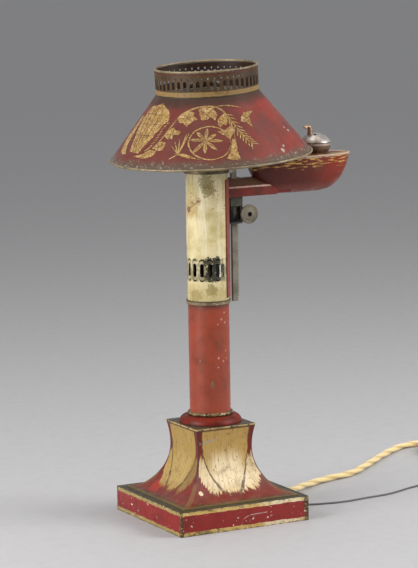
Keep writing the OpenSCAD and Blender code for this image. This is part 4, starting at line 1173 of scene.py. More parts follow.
    # the filler bowl's pale pink band at its lip is a painted highlight, and the thin dark line under the lid
    # is painted shade
    bowl = Marked(
        "bowl_brass", ground=(0.2, 0.12, 0.075), deep=(0.05, 0.03, 0.02), fleck=(0.3, 0.2, 0.12), metal=0.5,
        bands=((0.3842, 0.388, (0.5, 0.38, 0.33)), (0.3864, 0.3876, (0.01, 0.008, 0.006))),
    )
    bright_brass = Worn(
        "pin_brass", ground=(0.6, 0.45, 0.2), deep=(0.4, 0.28, 0.1), fleck=(0.7, 0.6, 0.4), metal=1.0
    )
    iron = Worn(
        "black_iron", ground=(0.05, 0.047, 0.045), deep=(0.02, 0.02, 0.02), fleck=(0.14, 0.08, 0.05),
        metal=0.4
    )
    plastic = Worn(
        "black_plastic", ground=(0.018, 0.018, 0.019), deep=(0.012, 0.012, 0.012), fleck=(0.03, 0.03, 0.03),
        fleck_amount=0.2, dust_amount=0.08,
    )
    porcelain = Worn(
        "porcelain", ground=(0.7, 0.68, 0.62), deep=(0.6, 0.57, 0.5), fleck=(0.4, 0.36, 0.3),
        fleck_amount=0.22
    )
    glass = ClearGlass(
        "clear_glass", ground=(0.93, 0.93, 0.91), deep=(0.9, 0.9, 0.87), fleck=(0.86, 0.86, 0.84),
        dust_amount=0.0, rough_low=0.02, rough_high=0.05, bump=0.0,
    )
    silk = SilkFlex(
        "silk_thread", thread=(0.92, 0.74, 0.36), shade=(0.7, 0.5, 0.17), rough_low=0.5, rough_high=0.7,
        bump=0.4
    )
    lead = Twill(
        "grey_thread", thread=(0.13, 0.12, 0.122), shade=(0.06, 0.055, 0.057), pitch=1500.0, sheen=0.0
    )
    cotton = Twill("cotton_thread", thread=(0.62, 0.57, 0.45), shade=(0.36, 0.3, 0.2), pitch=500.0, bump=0.5)
    floor = Worn(
        "pale_floor", ground=(0.42, 0.41, 0.41), deep=(0.4, 0.39, 0.39), fleck=(0.4, 0.39, 0.39),
        fleck_amount=0.1, dust_amount=0.0, rough_low=0.6, rough_high=0.7, bump=0.02,
    )

    def __init__(self) -> None:
        """Starts with no material."""
        self.made: dict[str, bpy.types.Material] = {}

    def get(self, finish: Finish) -> bpy.types.Material:
        """Gives the material of a finish, and builds it the first time."""
        if finish.name not in self.made:
            self.made[finish.name] = finish.build()
        return self.made[finish.name]


FINISHES = Finishes()


def deselect() -> None:
    """Leaves edit mode and deselects everything."""
    if bpy.context.object is not None and bpy.context.object.mode != "OBJECT":
        bpy.ops.object.mode_set(mode="OBJECT")
    bpy.ops.object.select_all(action="DESELECT")


def take(piece: bpy.types.Object) -> None:
    """Selects one object alone and makes it active."""
    deselect()
    piece.select_set(True)
    bpy.context.view_layer.objects.active = piece


def smooth(piece: bpy.types.Object, angle: float = 35.0) -> None:
    """Smooths a piece, apart from edges sharper than the angle."""
    take(piece)
    bpy.ops.object.shade_smooth_by_angle(angle=math.radians(angle))


@contextmanager
def editing(piece: bpy.types.Object) -> Iterator[None]:
    """Keeps a piece in edit mode, with its whole mesh selected, for the length of a block."""
    take(piece)
    bpy.ops.object.mode_set(mode="EDIT")
    bpy.ops.mesh.select_all(action="SELECT")
    yield
    bpy.ops.object.mode_set(mode="OBJECT")


def tidy_mesh(piece: bpy.types.Object, gap: float = 1e-6, outward: bool = True) -> None:
    """Merges doubles and turns the faces outwards."""
    with editing(piece):
        bpy.ops.mesh.remove_doubles(threshold=gap)
        if outward:
            bpy.ops.mesh.normals_make_consistent(inside=False)


def thicken(piece: bpy.types.Object, wall: float) -> None:
    """Gives a sheet a wall on its inner side, in millimetres."""
    take(piece)
    made = piece.modifiers.new("wall", "SOLIDIFY")
    made.thickness = wall * MM
    made.offset = -1.0
    bpy.ops.object.modifier_apply(modifier=made.name)


def round_edges(piece: bpy.types.Object, width: float) -> None:
    """Rounds a piece's sharp edges, in millimetres."""
    take(piece)
    made = piece.modifiers.new("edge", "BEVEL")
    made.width = width * MM
    made.segments = 3
    made.limit_method = "ANGLE"
    made.angle_limit = math.radians(40)
    bpy.ops.object.modifier_apply(modifier=made.name)


def from_mesh(
    name: str, points: Sequence[Vector], faces: Sequence[Sequence[int]], edges: Sequence[tuple[int, int]] = ()
) -> bpy.types.Object:
    """Makes an object of points, faces and loose edges in the lamp's frame."""
    mesh = bpy.data.meshes.new(name)
    mesh.from_pydata([tuple(p) for p in points], edges, [tuple(f) for f in faces])
    piece = bpy.data.objects.new(name, mesh)
    bpy.context.scene.collection.objects.link(piece)
    return piece


def spun(name: str, profile: Sequence[Flat], steps: int, closed: bool) -> bpy.types.Object:
    """Spins a profile about the Z axis.

    Args:
        name: the piece's name.
        profile: radius and height of each point, in millimetres.
        steps: segments in a full turn.
        closed: whether the last point joins the first one.

    Returns:
        The new piece, in metres.
    """
    count = len(profile)
    edges = [(i, (i + 1) % count) for i in range(count if closed else count - 1)]
    piece = from_mesh(name, [(r * MM, 0.0, z * MM) for r, z in profile], [], edges)
    with editing(piece):
        bpy.ops.mesh.spin(steps=steps, angle=math.tau, center=(0, 0, 0), axis=(0, 0, 1))
    tidy_mesh(piece)
    return piece


def block(name: str, side: float, low: float, tall: float) -> bpy.types.Object:
    """Makes a square block that stands at a height, with sizes in millimetres."""
    deselect()
    bpy.ops.mesh.primitive_cube_add(size=1.0)
    piece = bpy.context.object
    piece.name = name
    for v in piece.data.vertices:
        v.co = Vector((v.co.x * side, v.co.y * side, low + (v.co.z + 0.5) * tall)) * MM
    return piece


def circle(r: float, count: int, wide: float = 1.0) -> list[Flat]:
    """Gives the points of a round section that may be wider than it is high."""
    return [
        (wide * r * math.cos(math.tau * k / count), r * math.sin(math.tau * k / count)) for k in range(count)
    ]


def line_length(path: Sequence[Vector]) -> float:
    """Gives the length of a line through points."""
    return sum((b - a).length for a, b in zip(path, path[1:]))


def tube(
    name: str, path: Sequence[Vector], section: Callable[[float], Sequence[Flat]], flat: bool = False
) -> bpy.types.Object:
    """Sweeps a section along a path, with a UV map of length and turn.

    Args:
        name: the piece's name.
        path: points in metres.
        section: gives the section's points, in metres, at a length along the path.
        flat: keeps the section's second axis upright instead of carrying it along.

    Returns:
        The new closed tube.
    """
    points: list[Vector] = []
    lengths = [0.0]
    for a, b in zip(path, path[1:]):
        lengths.append(lengths[-1] + (b - a).length)
    start = (path[1] - path[0]).normalized()
    side = Vector((0, 1, 0)) if abs(start.z) > 0.9 else Vector((0, 0, 1)).cross(start).normalized()
    for i, at in enumerate(path):
        way = (path[min(i + 1, len(path) - 1)] - path[max(i - 1, 0)]).normalized()
        side = (Vector((0, 0, 1)).cross(way) if flat else side - way * side.dot(way)).normalized()
        up = way.cross(side)
        points += [at + side * a + up * b for a, b in section(lengths[i])]
    ring = len(section(0.0))
    faces = []
    for i in range(len(path) - 1):
        for j in range(ring):
            k = (j + 1) % ring
            faces.append((i * ring + j, i * ring + k, (i + 1) * ring + k, (i + 1) * ring + j))
    last = (len(path) - 1) * ring
    faces += [tuple(range(ring - 1, -1, -1)), tuple(range(last, last + ring))]
    piece = from_mesh(name, points, faces)
    layer = piece.data.uv_layers.new(name="thread")
    for face in piece.data.polygons[:-2]:
        i, j = divmod(face.index, ring)
        corners = ((i, j), (i, j + 1), (i + 1, j + 1), (i + 1, j))
        for loop, (row, column) in zip(face.loop_indices, corners):
            layer.data[loop].uv = (lengths[row], column / ring)
    smooth(piece, 50.0)
    return piece


def softened(points: Sequence[Vector], steps: int) -> list[Vector]:
    """Draws a smooth line through points."""
    made: list[Vector] = []
    last = len(points) - 1
    for i in range(last):
        a, b, c, d = points[max(i - 1, 0)], points[i], points[i + 1], points[min(i + 2, last)]
        for k in range(steps):
            t = k / steps
            made.append(
                0.5 * (
                    2 * b + (c - a) * t + (2 * a - 5 * b + 4 * c - d) * t**2 + (3 * b - a - 3 * c + d) * t**3
                )
            )
    return made + [points[last]]


def dress(piece: bpy.types.Object, finish: Finish, body: Body, slot: Slot, *nodes: str) -> bpy.types.Object:
    """Gives a piece its finish and body, and hides the solids that it stands for."""
    piece.data.materials.clear()
    piece.data.materials.append(FINISHES.get(finish))
    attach(piece, body.value)
    if nodes:
        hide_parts(*nodes)
    LOG.info("%s on %s", piece.name, body.value)
    return piece


def paint(finish: Finish, *nodes: str) -> None:
    """Gives solids that keep their shape a better finish."""
    for name in nodes:
        solid = frame["nodes"][name]
        solid.data.materials.clear()
        solid.data.materials.append(FINISHES.get(finish))
        LOG.info("%s painted %s", name, finish.name)


@dataclass(frozen=True)
class Cord:
    """A cord that leaves the plinth and ends in a round coil of two layers."""

    name: str
    diameter: float
    route: tuple[Place, ...]
    coil_at: Flat
    coil_z: float
    coil_r: float
    step: float
    turns: float
    angle: float
    tail_bend: float = 5.0
    tail_turn: float = 36.0
    rings: int = 24

    def heading(self, angle: float) -> Vector:
        """Gives the coil's running direction at an angle."""
        way = math.radians(angle)
        return Vector((math.sin(way), -math.cos(way), 0.0))

    def on_coil(self, t: float) -> Vector:
        """Gives a point of the coil after t turns, in millimetres."""
        way = math.radians(self.angle - 360 * t)
        back = 2 * self.turns + 0.5 - t
        r = self.coil_r - self.step * (t if t <= self.turns + 0.25 else back)
        rise = self.step * min(max(2 * (t - self.turns), 0), 1)
        return Vector(
            (self.coil_at[0] + r * math.cos(way), self.coil_at[1] + r * math.sin(way), self.coil_z + rise)
        )

    def coil(self) -> list[Vector]:
        """Gives the coil's points and its tail, in millimetres."""
        turns = 2 * self.turns + 0.5
        end = self.angle - 360 * turns
        bend = self.tail_bend * self.diameter
        middle = self.on_coil(turns) + bend * self.heading(end + 90)
        tail = [middle - bend * self.heading(end + self.tail_turn * k / 4 + 90) for k in range(1, 5)]
        made = [self.on_coil(0) - self.diameter * self.heading(self.angle)]
        made += [self.on_coil(i / self.rings) for i in range(int(self.rings * turns) + 1)]
        return made + tail + [tail[-1] + self.diameter * self.heading(end + self.tail_turn)]

    def path(self) -> list[Vector]:
        """Gives the whole line from the plinth to the far end, in metres."""
        coil = self.coil()
        lead = [Vector(p) for p in self.route] + [coil[0] - self.diameter * self.heading(self.angle)]
        return [p * MM for p in softened(lead + coil, 3)]


@dataclass(frozen=True)
class Cords:
    """The yellow lamp flex and the thin grey earth lead."""

    flex: Cord = Cord(
        "lamp_flex", 7.0,
        (
            (101.5, 22, 9), (110.5, 23, 8.6), (122, 34, 7), (138, 48, 5.2), (156, 59.5, 4), (176, 69, 3.6),
            (196, 74.5, 3.6), (218, 81, 3.6), (234, 91, 3.6), (250, 104, 3.6), (267, 117.5, 3.6),
            (283, 131, 3.6), (298, 143.5, 3.6), (313, 155, 3.6), (328, 165.5, 3.6), (342, 173.5, 3.6),
            (356, 178, 3.6), (371, 177.5, 3.6), (387, 173, 3.9),
        ),
        (402, 116), 4.4, 52.0, 7.6, 2.375, 77.0,
    )
    earth: Cord = Cord(
        "earth_wire", 2.0,
        (
            (82.5, -12, 5), (87.5, -12.3, 4.6), (94, -14.4, 2.8), (102, -17, 1.5), (112, -19.6, 1.1),
            (124, -22.8, 1.1), (138, -25.4, 1.1), (154, -25.8, 1.1), (170, -23.6, 1.1), (186, -22.2, 1.1),
            (204, -20.4, 1.1), (220, -15.6, 1.1), (237, -8.4, 1.1), (254, -2.8, 1.1), (264, 0.6, 1.3),
        ),
        (280, -15), 1.7, 20.0, 2.5, 6.0, 107.6,
    )
    twist: float = 60.0
    strand: float = 0.78
    corners: int = 18
    tape_gap: float = 0.5
    tape_t: float = 0.25

    def stranded(self, length: float) -> list[Flat]:
        """Gives the twisted flex's section: two strands that turn along the cord."""
        r = self.flex.diameter / 2 * MM
        strand = self.strand * r
        away = r - strand
        turn = math.tau * length / (self.twist * MM)
        made = []
        for k in range(self.corners):
            way = math.tau * k / self.corners
            off = min(abs((way - turn + math.pi * j + math.pi) % math.tau - math.pi) for j in range(2))
            reach = away * math.cos(off) + math.sqrt(max(strand**2 - (away * math.sin(off)) ** 2, 0.0))
            made.append((reach * math.cos(way), reach * math.sin(way)))
        return made

    def plain(self, length: float) -> list[Flat]:
        """Gives the earth lead's round section."""
        r = self.earth.diameter / 2 * MM
        return circle(r, 8)

    def tie(self, name: str, cord: Cord, angle: float, wide: float, *nodes: str) -> bpy.types.Object:
        """Makes a cotton tape round one side of a coil.

        Args:
            name: the piece's name.
            cord: the cord whose coil is held.
            angle: where on the coil, in degrees.
            wide: the tape's width in millimetres.
            nodes: the solids that the tape stands for.

        Returns:
            The tape.
        """
        reach = cord.diameter / 2 + self.tape_gap
        inner = cord.coil_r - cord.step * (cord.turns + 0.25) - reach
        outer = cord.coil_r + reach
        low = cord.coil_z - reach
        high = cord.coil_z + cord.step + reach
        bend = reach * 0.8
        loop = []
        for cx, cz, start in (
            (outer - bend, low + bend, 270), (outer - bend, high - bend, 0),
            (inner + bend, high - bend, 90), (inner + bend, low + bend, 180),
        ):
            for k in range(7):
                way = math.radians(start + 15 * k)
                loop.append((cx + bend * math.cos(way), cz + bend * math.sin(way)))
        turn = Matrix.Rotation(math.radians(angle), 4, "Z")
        at = Vector((cord.coil_at[0], cord.coil_at[1], 0.0))
        points = []
        for x, z in loop:
            points += [(at + turn @ Vector((x, s * wide / 2, z))) * MM for s in (-1, 1)]
        count = len(loop)
        faces = [(2 * i, 2 * i + 1, 2 * ((i + 1) % count) + 1, 2 * ((i + 1) % count)) for i in range(count)]
        piece = from_mesh(name, points, faces)
        layer = piece.data.uv_layers.new(name="thread")
        for loop_index, corner in enumerate(piece.data.loops):
            i, s = divmod(corner.vertex_index, 2)
            layer.data[loop_index].uv = (0.002 * i, 0.2 * s)
        tidy_mesh(piece)
        thicken(piece, self.tape_t)
        smooth(piece, 60.0)
        return dress(piece, FINISHES.cotton, Body.LAMP, Slot.COTTON, *nodes)

    def build(self) -> None:
        """Makes both cords with their ties, and paints the plug and the fork."""
        paint(FINISHES.plastic, "plug_body", "flex_gland", "earth_bush")
        paint(FINISHES.bright_brass, "plug_pins", "earth_fork")
        flex_tie = self.tie("flex_tape", self.flex, 250.0, 5.0, "flex_tie")
        earth_tie = self.tie("earth_tape", self.earth, 200.0, 3.5, "earth_tie")
        path = softened(self.flex.path(), 2)
        flex = tube(self.flex.name, path, self.stranded)
        dress(flex, FINISHES.silk, Body.LAMP, Slot.SILK, "flex_lead", "flex_coil")
        path = self.earth.path()
        earth = tube(self.earth.name, path, self.plain)
        dress(earth, FINISHES.lead, Body.LAMP, Slot.LEAD, "earth_lead", "earth_coil")


@dataclass(frozen=True)
class Stand:
    """Plinth, pedestal and cap."""

    plinth_side: float = 150.0
    plinth_h: float = 26.0
    wall: float = 1.2
    cap_side: float = 70.0
    cap_z: float = 98.8
    cap_t: float = 2.0
    neck_half: float = 31.7
    neck_rise: float = 50.0
    cove_r: float = 58.0
    foot_r: float = 25.0
    flare_r: float = 94.0
    flange: float = 1.0
    pedestal_h: float = 72.8
    skin_t: float = 1.0
    crowding: float = 1.6
    plinth_edge: float = 0.9
    cap_edge: float = 0.6

    def half_width(self, rise: float) -> float:
        """Gives the pedestal's half width at a height above the plinth."""
        cove_x = self.neck_half + self.cove_r
        foot_z = self.flange + self.foot_r
        gap = self.cove_r - self.foot_r
        foot_x = cove_x - math.sqrt(gap**2 - (self.neck_rise - foot_z) ** 2)
        join = self.neck_rise + self.cove_r / gap * (foot_z - self.neck_rise)
        if rise > self.neck_rise:
            return self.neck_half + self.flare_r - math.sqrt(self.flare_r**2 - (rise - self.neck_rise) ** 2)
        if rise > join:
            return cove_x - math.sqrt(self.cove_r**2 - (rise - self.neck_rise) ** 2)
        return foot_x - math.sqrt(max(self.foot_r**2 - (rise - foot_z) ** 2, 0.0))

    def plinth(self) -> bpy.types.Object:
        """Makes the plinth as a bent box of sheet, open below, with rounded edges."""
        piece = block("plinth_sheet", self.plinth_side, 0.0, self.plinth_h)
        with editing(piece):
            bpy.ops.mesh.select_all(action="DESELECT")
        for face in piece.data.polygons:
            face.select = face.normal.z < -0.5
        bpy.ops.object.mode_set(mode="EDIT")
        bpy.ops.mesh.delete(type="FACE")
        bpy.ops.object.mode_set(mode="OBJECT")
        round_edges(piece, self.plinth_edge)
        thicken(piece, self.wall)
        smooth(piece, 40.0)
        return dress(piece, FINISHES.plinth, Body.LAMP, Slot.RED, "plinth_shell")

    def pedestal(self) -> bpy.types.Object:
        """Makes the four hollow faces of the pedestal as one skin."""
        rows, columns = 44, 20
        heights = [self.pedestal_h * (k / rows) ** self.crowding for k in range(rows + 1)]
        heights = [self.flange + (self.pedestal_h - self.flange) * h / self.pedestal_h for h in heights]
        points: list[Vector] = []
        faces = []
        for turn in range(4):
            spin = Matrix.Rotation(math.pi / 2 * turn, 4, "Z")
            start = len(points)
            for h in heights:
                half = self.half_width(h)
                for c in range(columns + 1):
                    flat = Vector((half * (2 * c / columns - 1), -half, self.plinth_h + h))
                    points.append(spin @ (flat * MM))
            for r in range(rows):
                for c in range(columns):
                    a = start + r * (columns + 1) + c
                    faces.append((a, a + 1, a + columns + 2, a + columns + 1))
        piece = from_mesh("pedestal_skin", points, faces)
        tidy_mesh(piece, 1e-5)
        thicken(piece, self.skin_t)
        smooth(piece, 25.0)
        return dress(piece, FINISHES.pedestal, Body.LAMP, Slot.GILT, "pedestal_shell")

    def cap(self) -> bpy.types.Object:
        """Makes the square cap with softened edges."""
        piece = block("cap_plate", self.cap_side, self.cap_z, self.cap_t)
        round_edges(piece, self.cap_edge)
        smooth(piece, 40.0)
        return dress(piece, FINISHES.cap, Body.LAMP, Slot.GILT, "pedestal_cap")

    def build(self) -> None:
        """Makes the stand's pieces and paints its solids."""
        self.plinth()
        self.pedestal()
        self.cap()
        paint(FINISHES.iron, "bottom_plate", "base_weight")
        paint(FINISHES.brass, "bottom_screws", "tie_tube", "tie_nuts")


@dataclass(frozen=True)
class Column:
    """Mouldings, column, burner and the wick lift."""

    knob_at: Place = (40.0, -18.2, 318.6)
    knob_r: float = 10.0
    knob_t: float = 3.0
    milling: int = 96
    milled: float = 0.975
    hub_r: float = 3.2
    hub_back: float = 10.1
    wick_r: float = 15.0
    wick_t: float = 1.1
    wick_low: float = 301.0
    wick_high: float = 361.0
    wick_steps: int = 72
    fray: float = 0.6

    def knob(self) -> bpy.types.Object:
        """Makes the milled knob with a dished face and a hub."""
        r, t = self.knob_r, self.knob_t
        profile = [
            (0.0, t / 2 - 2.4), (2.0, t / 2 - 2.4), (2.1, t / 2 - 0.3), (2.4, t / 2), (3.2, t / 2 - 0.1),
            (r - 2.2, t / 2 - 0.35), (r - 1.7, t / 2), (r - 0.5, t / 2), (r, t / 2 - 0.5), (r, -t / 2 + 0.5),
            (r - 0.5, -t / 2), (self.hub_r + 0.6, -t / 2), (self.hub_r, -t / 2 - 0.6),
            (self.hub_r, -self.hub_back + 0.4), (self.hub_r - 0.4, -self.hub_back), (0.0, -self.hub_back),
        ]
        piece = spun("knob_disc", profile, self.milling, False)
        for v in piece.data.vertices:
            around = math.hypot(v.co.x, v.co.y)
            step = round(math.atan2(v.co.y, v.co.x) / math.tau * self.milling)
            if around > (r - 0.1) * MM and step % 2:
                v.co.x *= self.milled
                v.co.y *= self.milled
        piece.data.transform(
            Matrix.Translation(Vector(self.knob_at) * MM) @ Matrix.Rotation(math.pi / 2, 4, "X")
        )
        smooth(piece, 28.0)
        return dress(piece, FINISHES.knob, Body.KNOB, Slot.BRASS, "knob")

    def wick(self) -> bpy.types.Object:
        """Makes the round woven wick with a slightly frayed top."""
        rng = random.Random(4)
        low, high, r, t = self.wick_low, self.wick_high, self.wick_r, self.wick_t
        outer = [(r, low + (high - low) * k / 12) for k in range(13)]
        inner = [(r - t, z) for _, z in reversed(outer)]
        piece = spun("wick_sleeve", outer + inner, self.wick_steps, True)
        for v in piece.data.vertices:
            if v.co.z > (high - 0.1) * MM:
                v.co.z -= rng.random() * self.fray * MM
        layer = piece.data.uv_layers.new(name="thread")
        for loop in piece.data.loops:
            at = piece.data.vertices[loop.vertex_index].co
            layer.data[loop.index].uv = (at.z, math.atan2(at.y, at.x) / math.tau * 6)
        smooth(piece, 40.0)
        return dress(piece, FINISHES.cotton, Body.WICK, Slot.COTTON, "wick")

    def build(self) -> None:
        """Makes the turned pieces and paints the solids."""
        self.knob()
        self.wick()
        paint(FINISHES.orange, "torus_ring")
        paint(FINISHES.bead, "torus_bead")
        paint(FINISHES.joint, "column_collar")
        paint(FINISHES.salmon, "column_tube")
        paint(FINISHES.cream, "burner_jacket")
        paint(FINISHES.sooty, "burner_floor", "draught_tube", "wick_tube", "wick_carrier")
        paint(FINISHES.brass, "burner_cap")
        paint(FINISHES.rack, "rack", "rack_guide")
        paint(FINISHES.pinion, "pinion")
        paint(FINISHES.housing, "pinion_housing")
        paint(FINISHES.tin, "lift_crank")


@dataclass(frozen=True)
class OilSide:
    """Saddle, arm, reservoir and its filler."""

    tank_x: float = 108.7
    length: float = 122.4
    beam: float = 52.0
    depth: float = 39.0
    rim_z: float = 374.6
    lip: float = 1.0
    wall: float = 1.2
    scroll_x: float = 124.2
    scroll_foot: float = 395.0
    scroll_r: float = 3.2
    scroll_wire: float = 2.25
    scroll_neck: float = 6.0
    scroll_turn: float = 150.0
    arm_w: float = 24.0
    eave_z: float = 347.0
    eave_round: float = 2.0
    merge_x: float = 76.0
    merge_narrow: float = 0.15
    merge_rise: float = 5.0

    def half_beam(self, u: float) -> float:
        """Gives the half beam at a share of the half length."""
        return self.beam / 2 * math.sqrt(max(1 - u * u, 0.0))

    def keel(self, u: float) -> float:
        """Gives the keel's depth below the lip."""
        return (self.depth - self.lip) * (1 - abs(u) ** 5)

    def hull(self) -> bpy.types.Object:
        """Makes the boat-shaped tank from a grid that is bent round the keel."""
        along, across = 72, 36
        deselect()
        bpy.ops.mesh.primitive_grid_add(x_subdivisions=along, y_subdivisions=across, size=2.0)
        piece = bpy.context.object
        piece.name = "tank_hull"
        for v in piece.data.vertices:
            u = -math.cos(math.pi * (v.co.x + 1) / 2)
            way = math.pi * (v.co.y + 1) / 2
            b, d = self.half_beam(u), self.keel(u)
            v.co = Vector(
                (
                    self.tank_x + u * self.length / 2, -b * math.cos(way),
                    self.rim_z - self.lip - d * math.sin(way)
                )
            ) * MM
            if abs(math.sin(way)) < 1e-6:
                v.co.z = self.rim_z * MM
        tidy_mesh(piece)
        keel = min(piece.data.polygons, key=lambda face: face.center.z)
        if keel.normal.z > 0:
            piece.data.flip_normals()
        thicken(piece, self.wall)
        smooth(piece, 50.0)
        return dress(piece, FINISHES.hull, Body.LAMP, Slot.RED, "reservoir_hull")

    def arm(self) -> bpy.types.Object:
        """Makes the arm's sheet with rolled eaves and an end that runs into the hull."""
        solid = frame["nodes"]["supply_arm"]
        piece = from_mesh(
            "arm_sheet", [v.co for v in solid.data.vertices], [p.vertices for p in solid.data.polygons]
        )
        tidy_mesh(piece, 1e-6, False)
        with editing(piece):
            bpy.ops.mesh.bisect(plane_co=(self.merge_x * MM, 0, 0), plane_no=(1, 0, 0))
            bpy.ops.mesh.select_all(action="DESELECT")
        end = max(v.co.x for v in piece.data.vertices)
        low = min(v.co.z for v in piece.data.vertices)
        for v in piece.data.vertices:
            if v.co.x > end - 0.001:
                v.co.y *= self.merge_narrow
                v.co.z = max(v.co.z, low + self.merge_rise * MM + 0.3 * (v.co.z - low))
        for edge in piece.data.edges:
            a, b = (piece.data.vertices[k].co for k in edge.vertices)
            eave = min(abs(abs(p.y) - self.arm_w / 2 * MM) < 1e-4 for p in (a, b))
            level = min(abs(p.z - self.eave_z * MM) < 1e-4 for p in (a, b))
            edge.select = bool(eave and level)
        bpy.ops.object.mode_set(mode="EDIT")
        bpy.ops.mesh.select_mode(type="EDGE")
        bpy.ops.mesh.bevel(offset=self.eave_round * MM, segments=4)
        bpy.ops.mesh.select_mode(type="VERT")
        bpy.ops.object.mode_set(mode="OBJECT")
        smooth(piece, 40.0)
        return dress(piece, FINISHES.arm, Body.LAMP, Slot.RED, "supply_arm")

    def scroll(self) -> bpy.types.Object:
        """Makes the lid's tapered thumb scroll."""
        turn_z = self.scroll_foot + self.scroll_neck
        line = [Vector((self.scroll_x, 0.0, self.scroll_foot + self.scroll_neck * k / 4)) for k in range(4)]
        for k in range(17):
            way = math.radians(self.scroll_turn * k / 16)
            line.append(
                Vector((
                    self.scroll_x - self.scroll_r + self.scroll_r * math.cos(way), 0.0,
                    turn_z + self.scroll_r * math.sin(way),
                ))
            )
        path = [p * MM for p in line]
        total = line_length(path)

        def section(length: float) -> list[Flat]:
            """Gives the wire's section, thick in the bend and blunt at the tip."""
            share = length / total
            r = self.scroll_wire * MM * (1.25 - 0.55 * share + 0.45 * max(0.0, share - 0.82) / 0.18)
            return circle(r, 16, 1.15)

        piece = tube("lid_curl", path, section)
        return dress(piece, FINISHES.copper, Body.LID, Slot.BRASS, "lid_scroll")

    def build(self) -> None:
        """Makes the arm, the hull and the scroll, and paints the solids."""
        self.arm()
        self.hull()
        self.scroll()
        paint(FINISHES.saddle, "oil_saddle")
        paint(FINISHES.deck, "reservoir_deck")
        paint(FINISHES.bowl, "filler_neck")
        paint(FINISHES.tin, "filler_lid")
        paint(FINISHES.brass, "lid_hinge_pin")


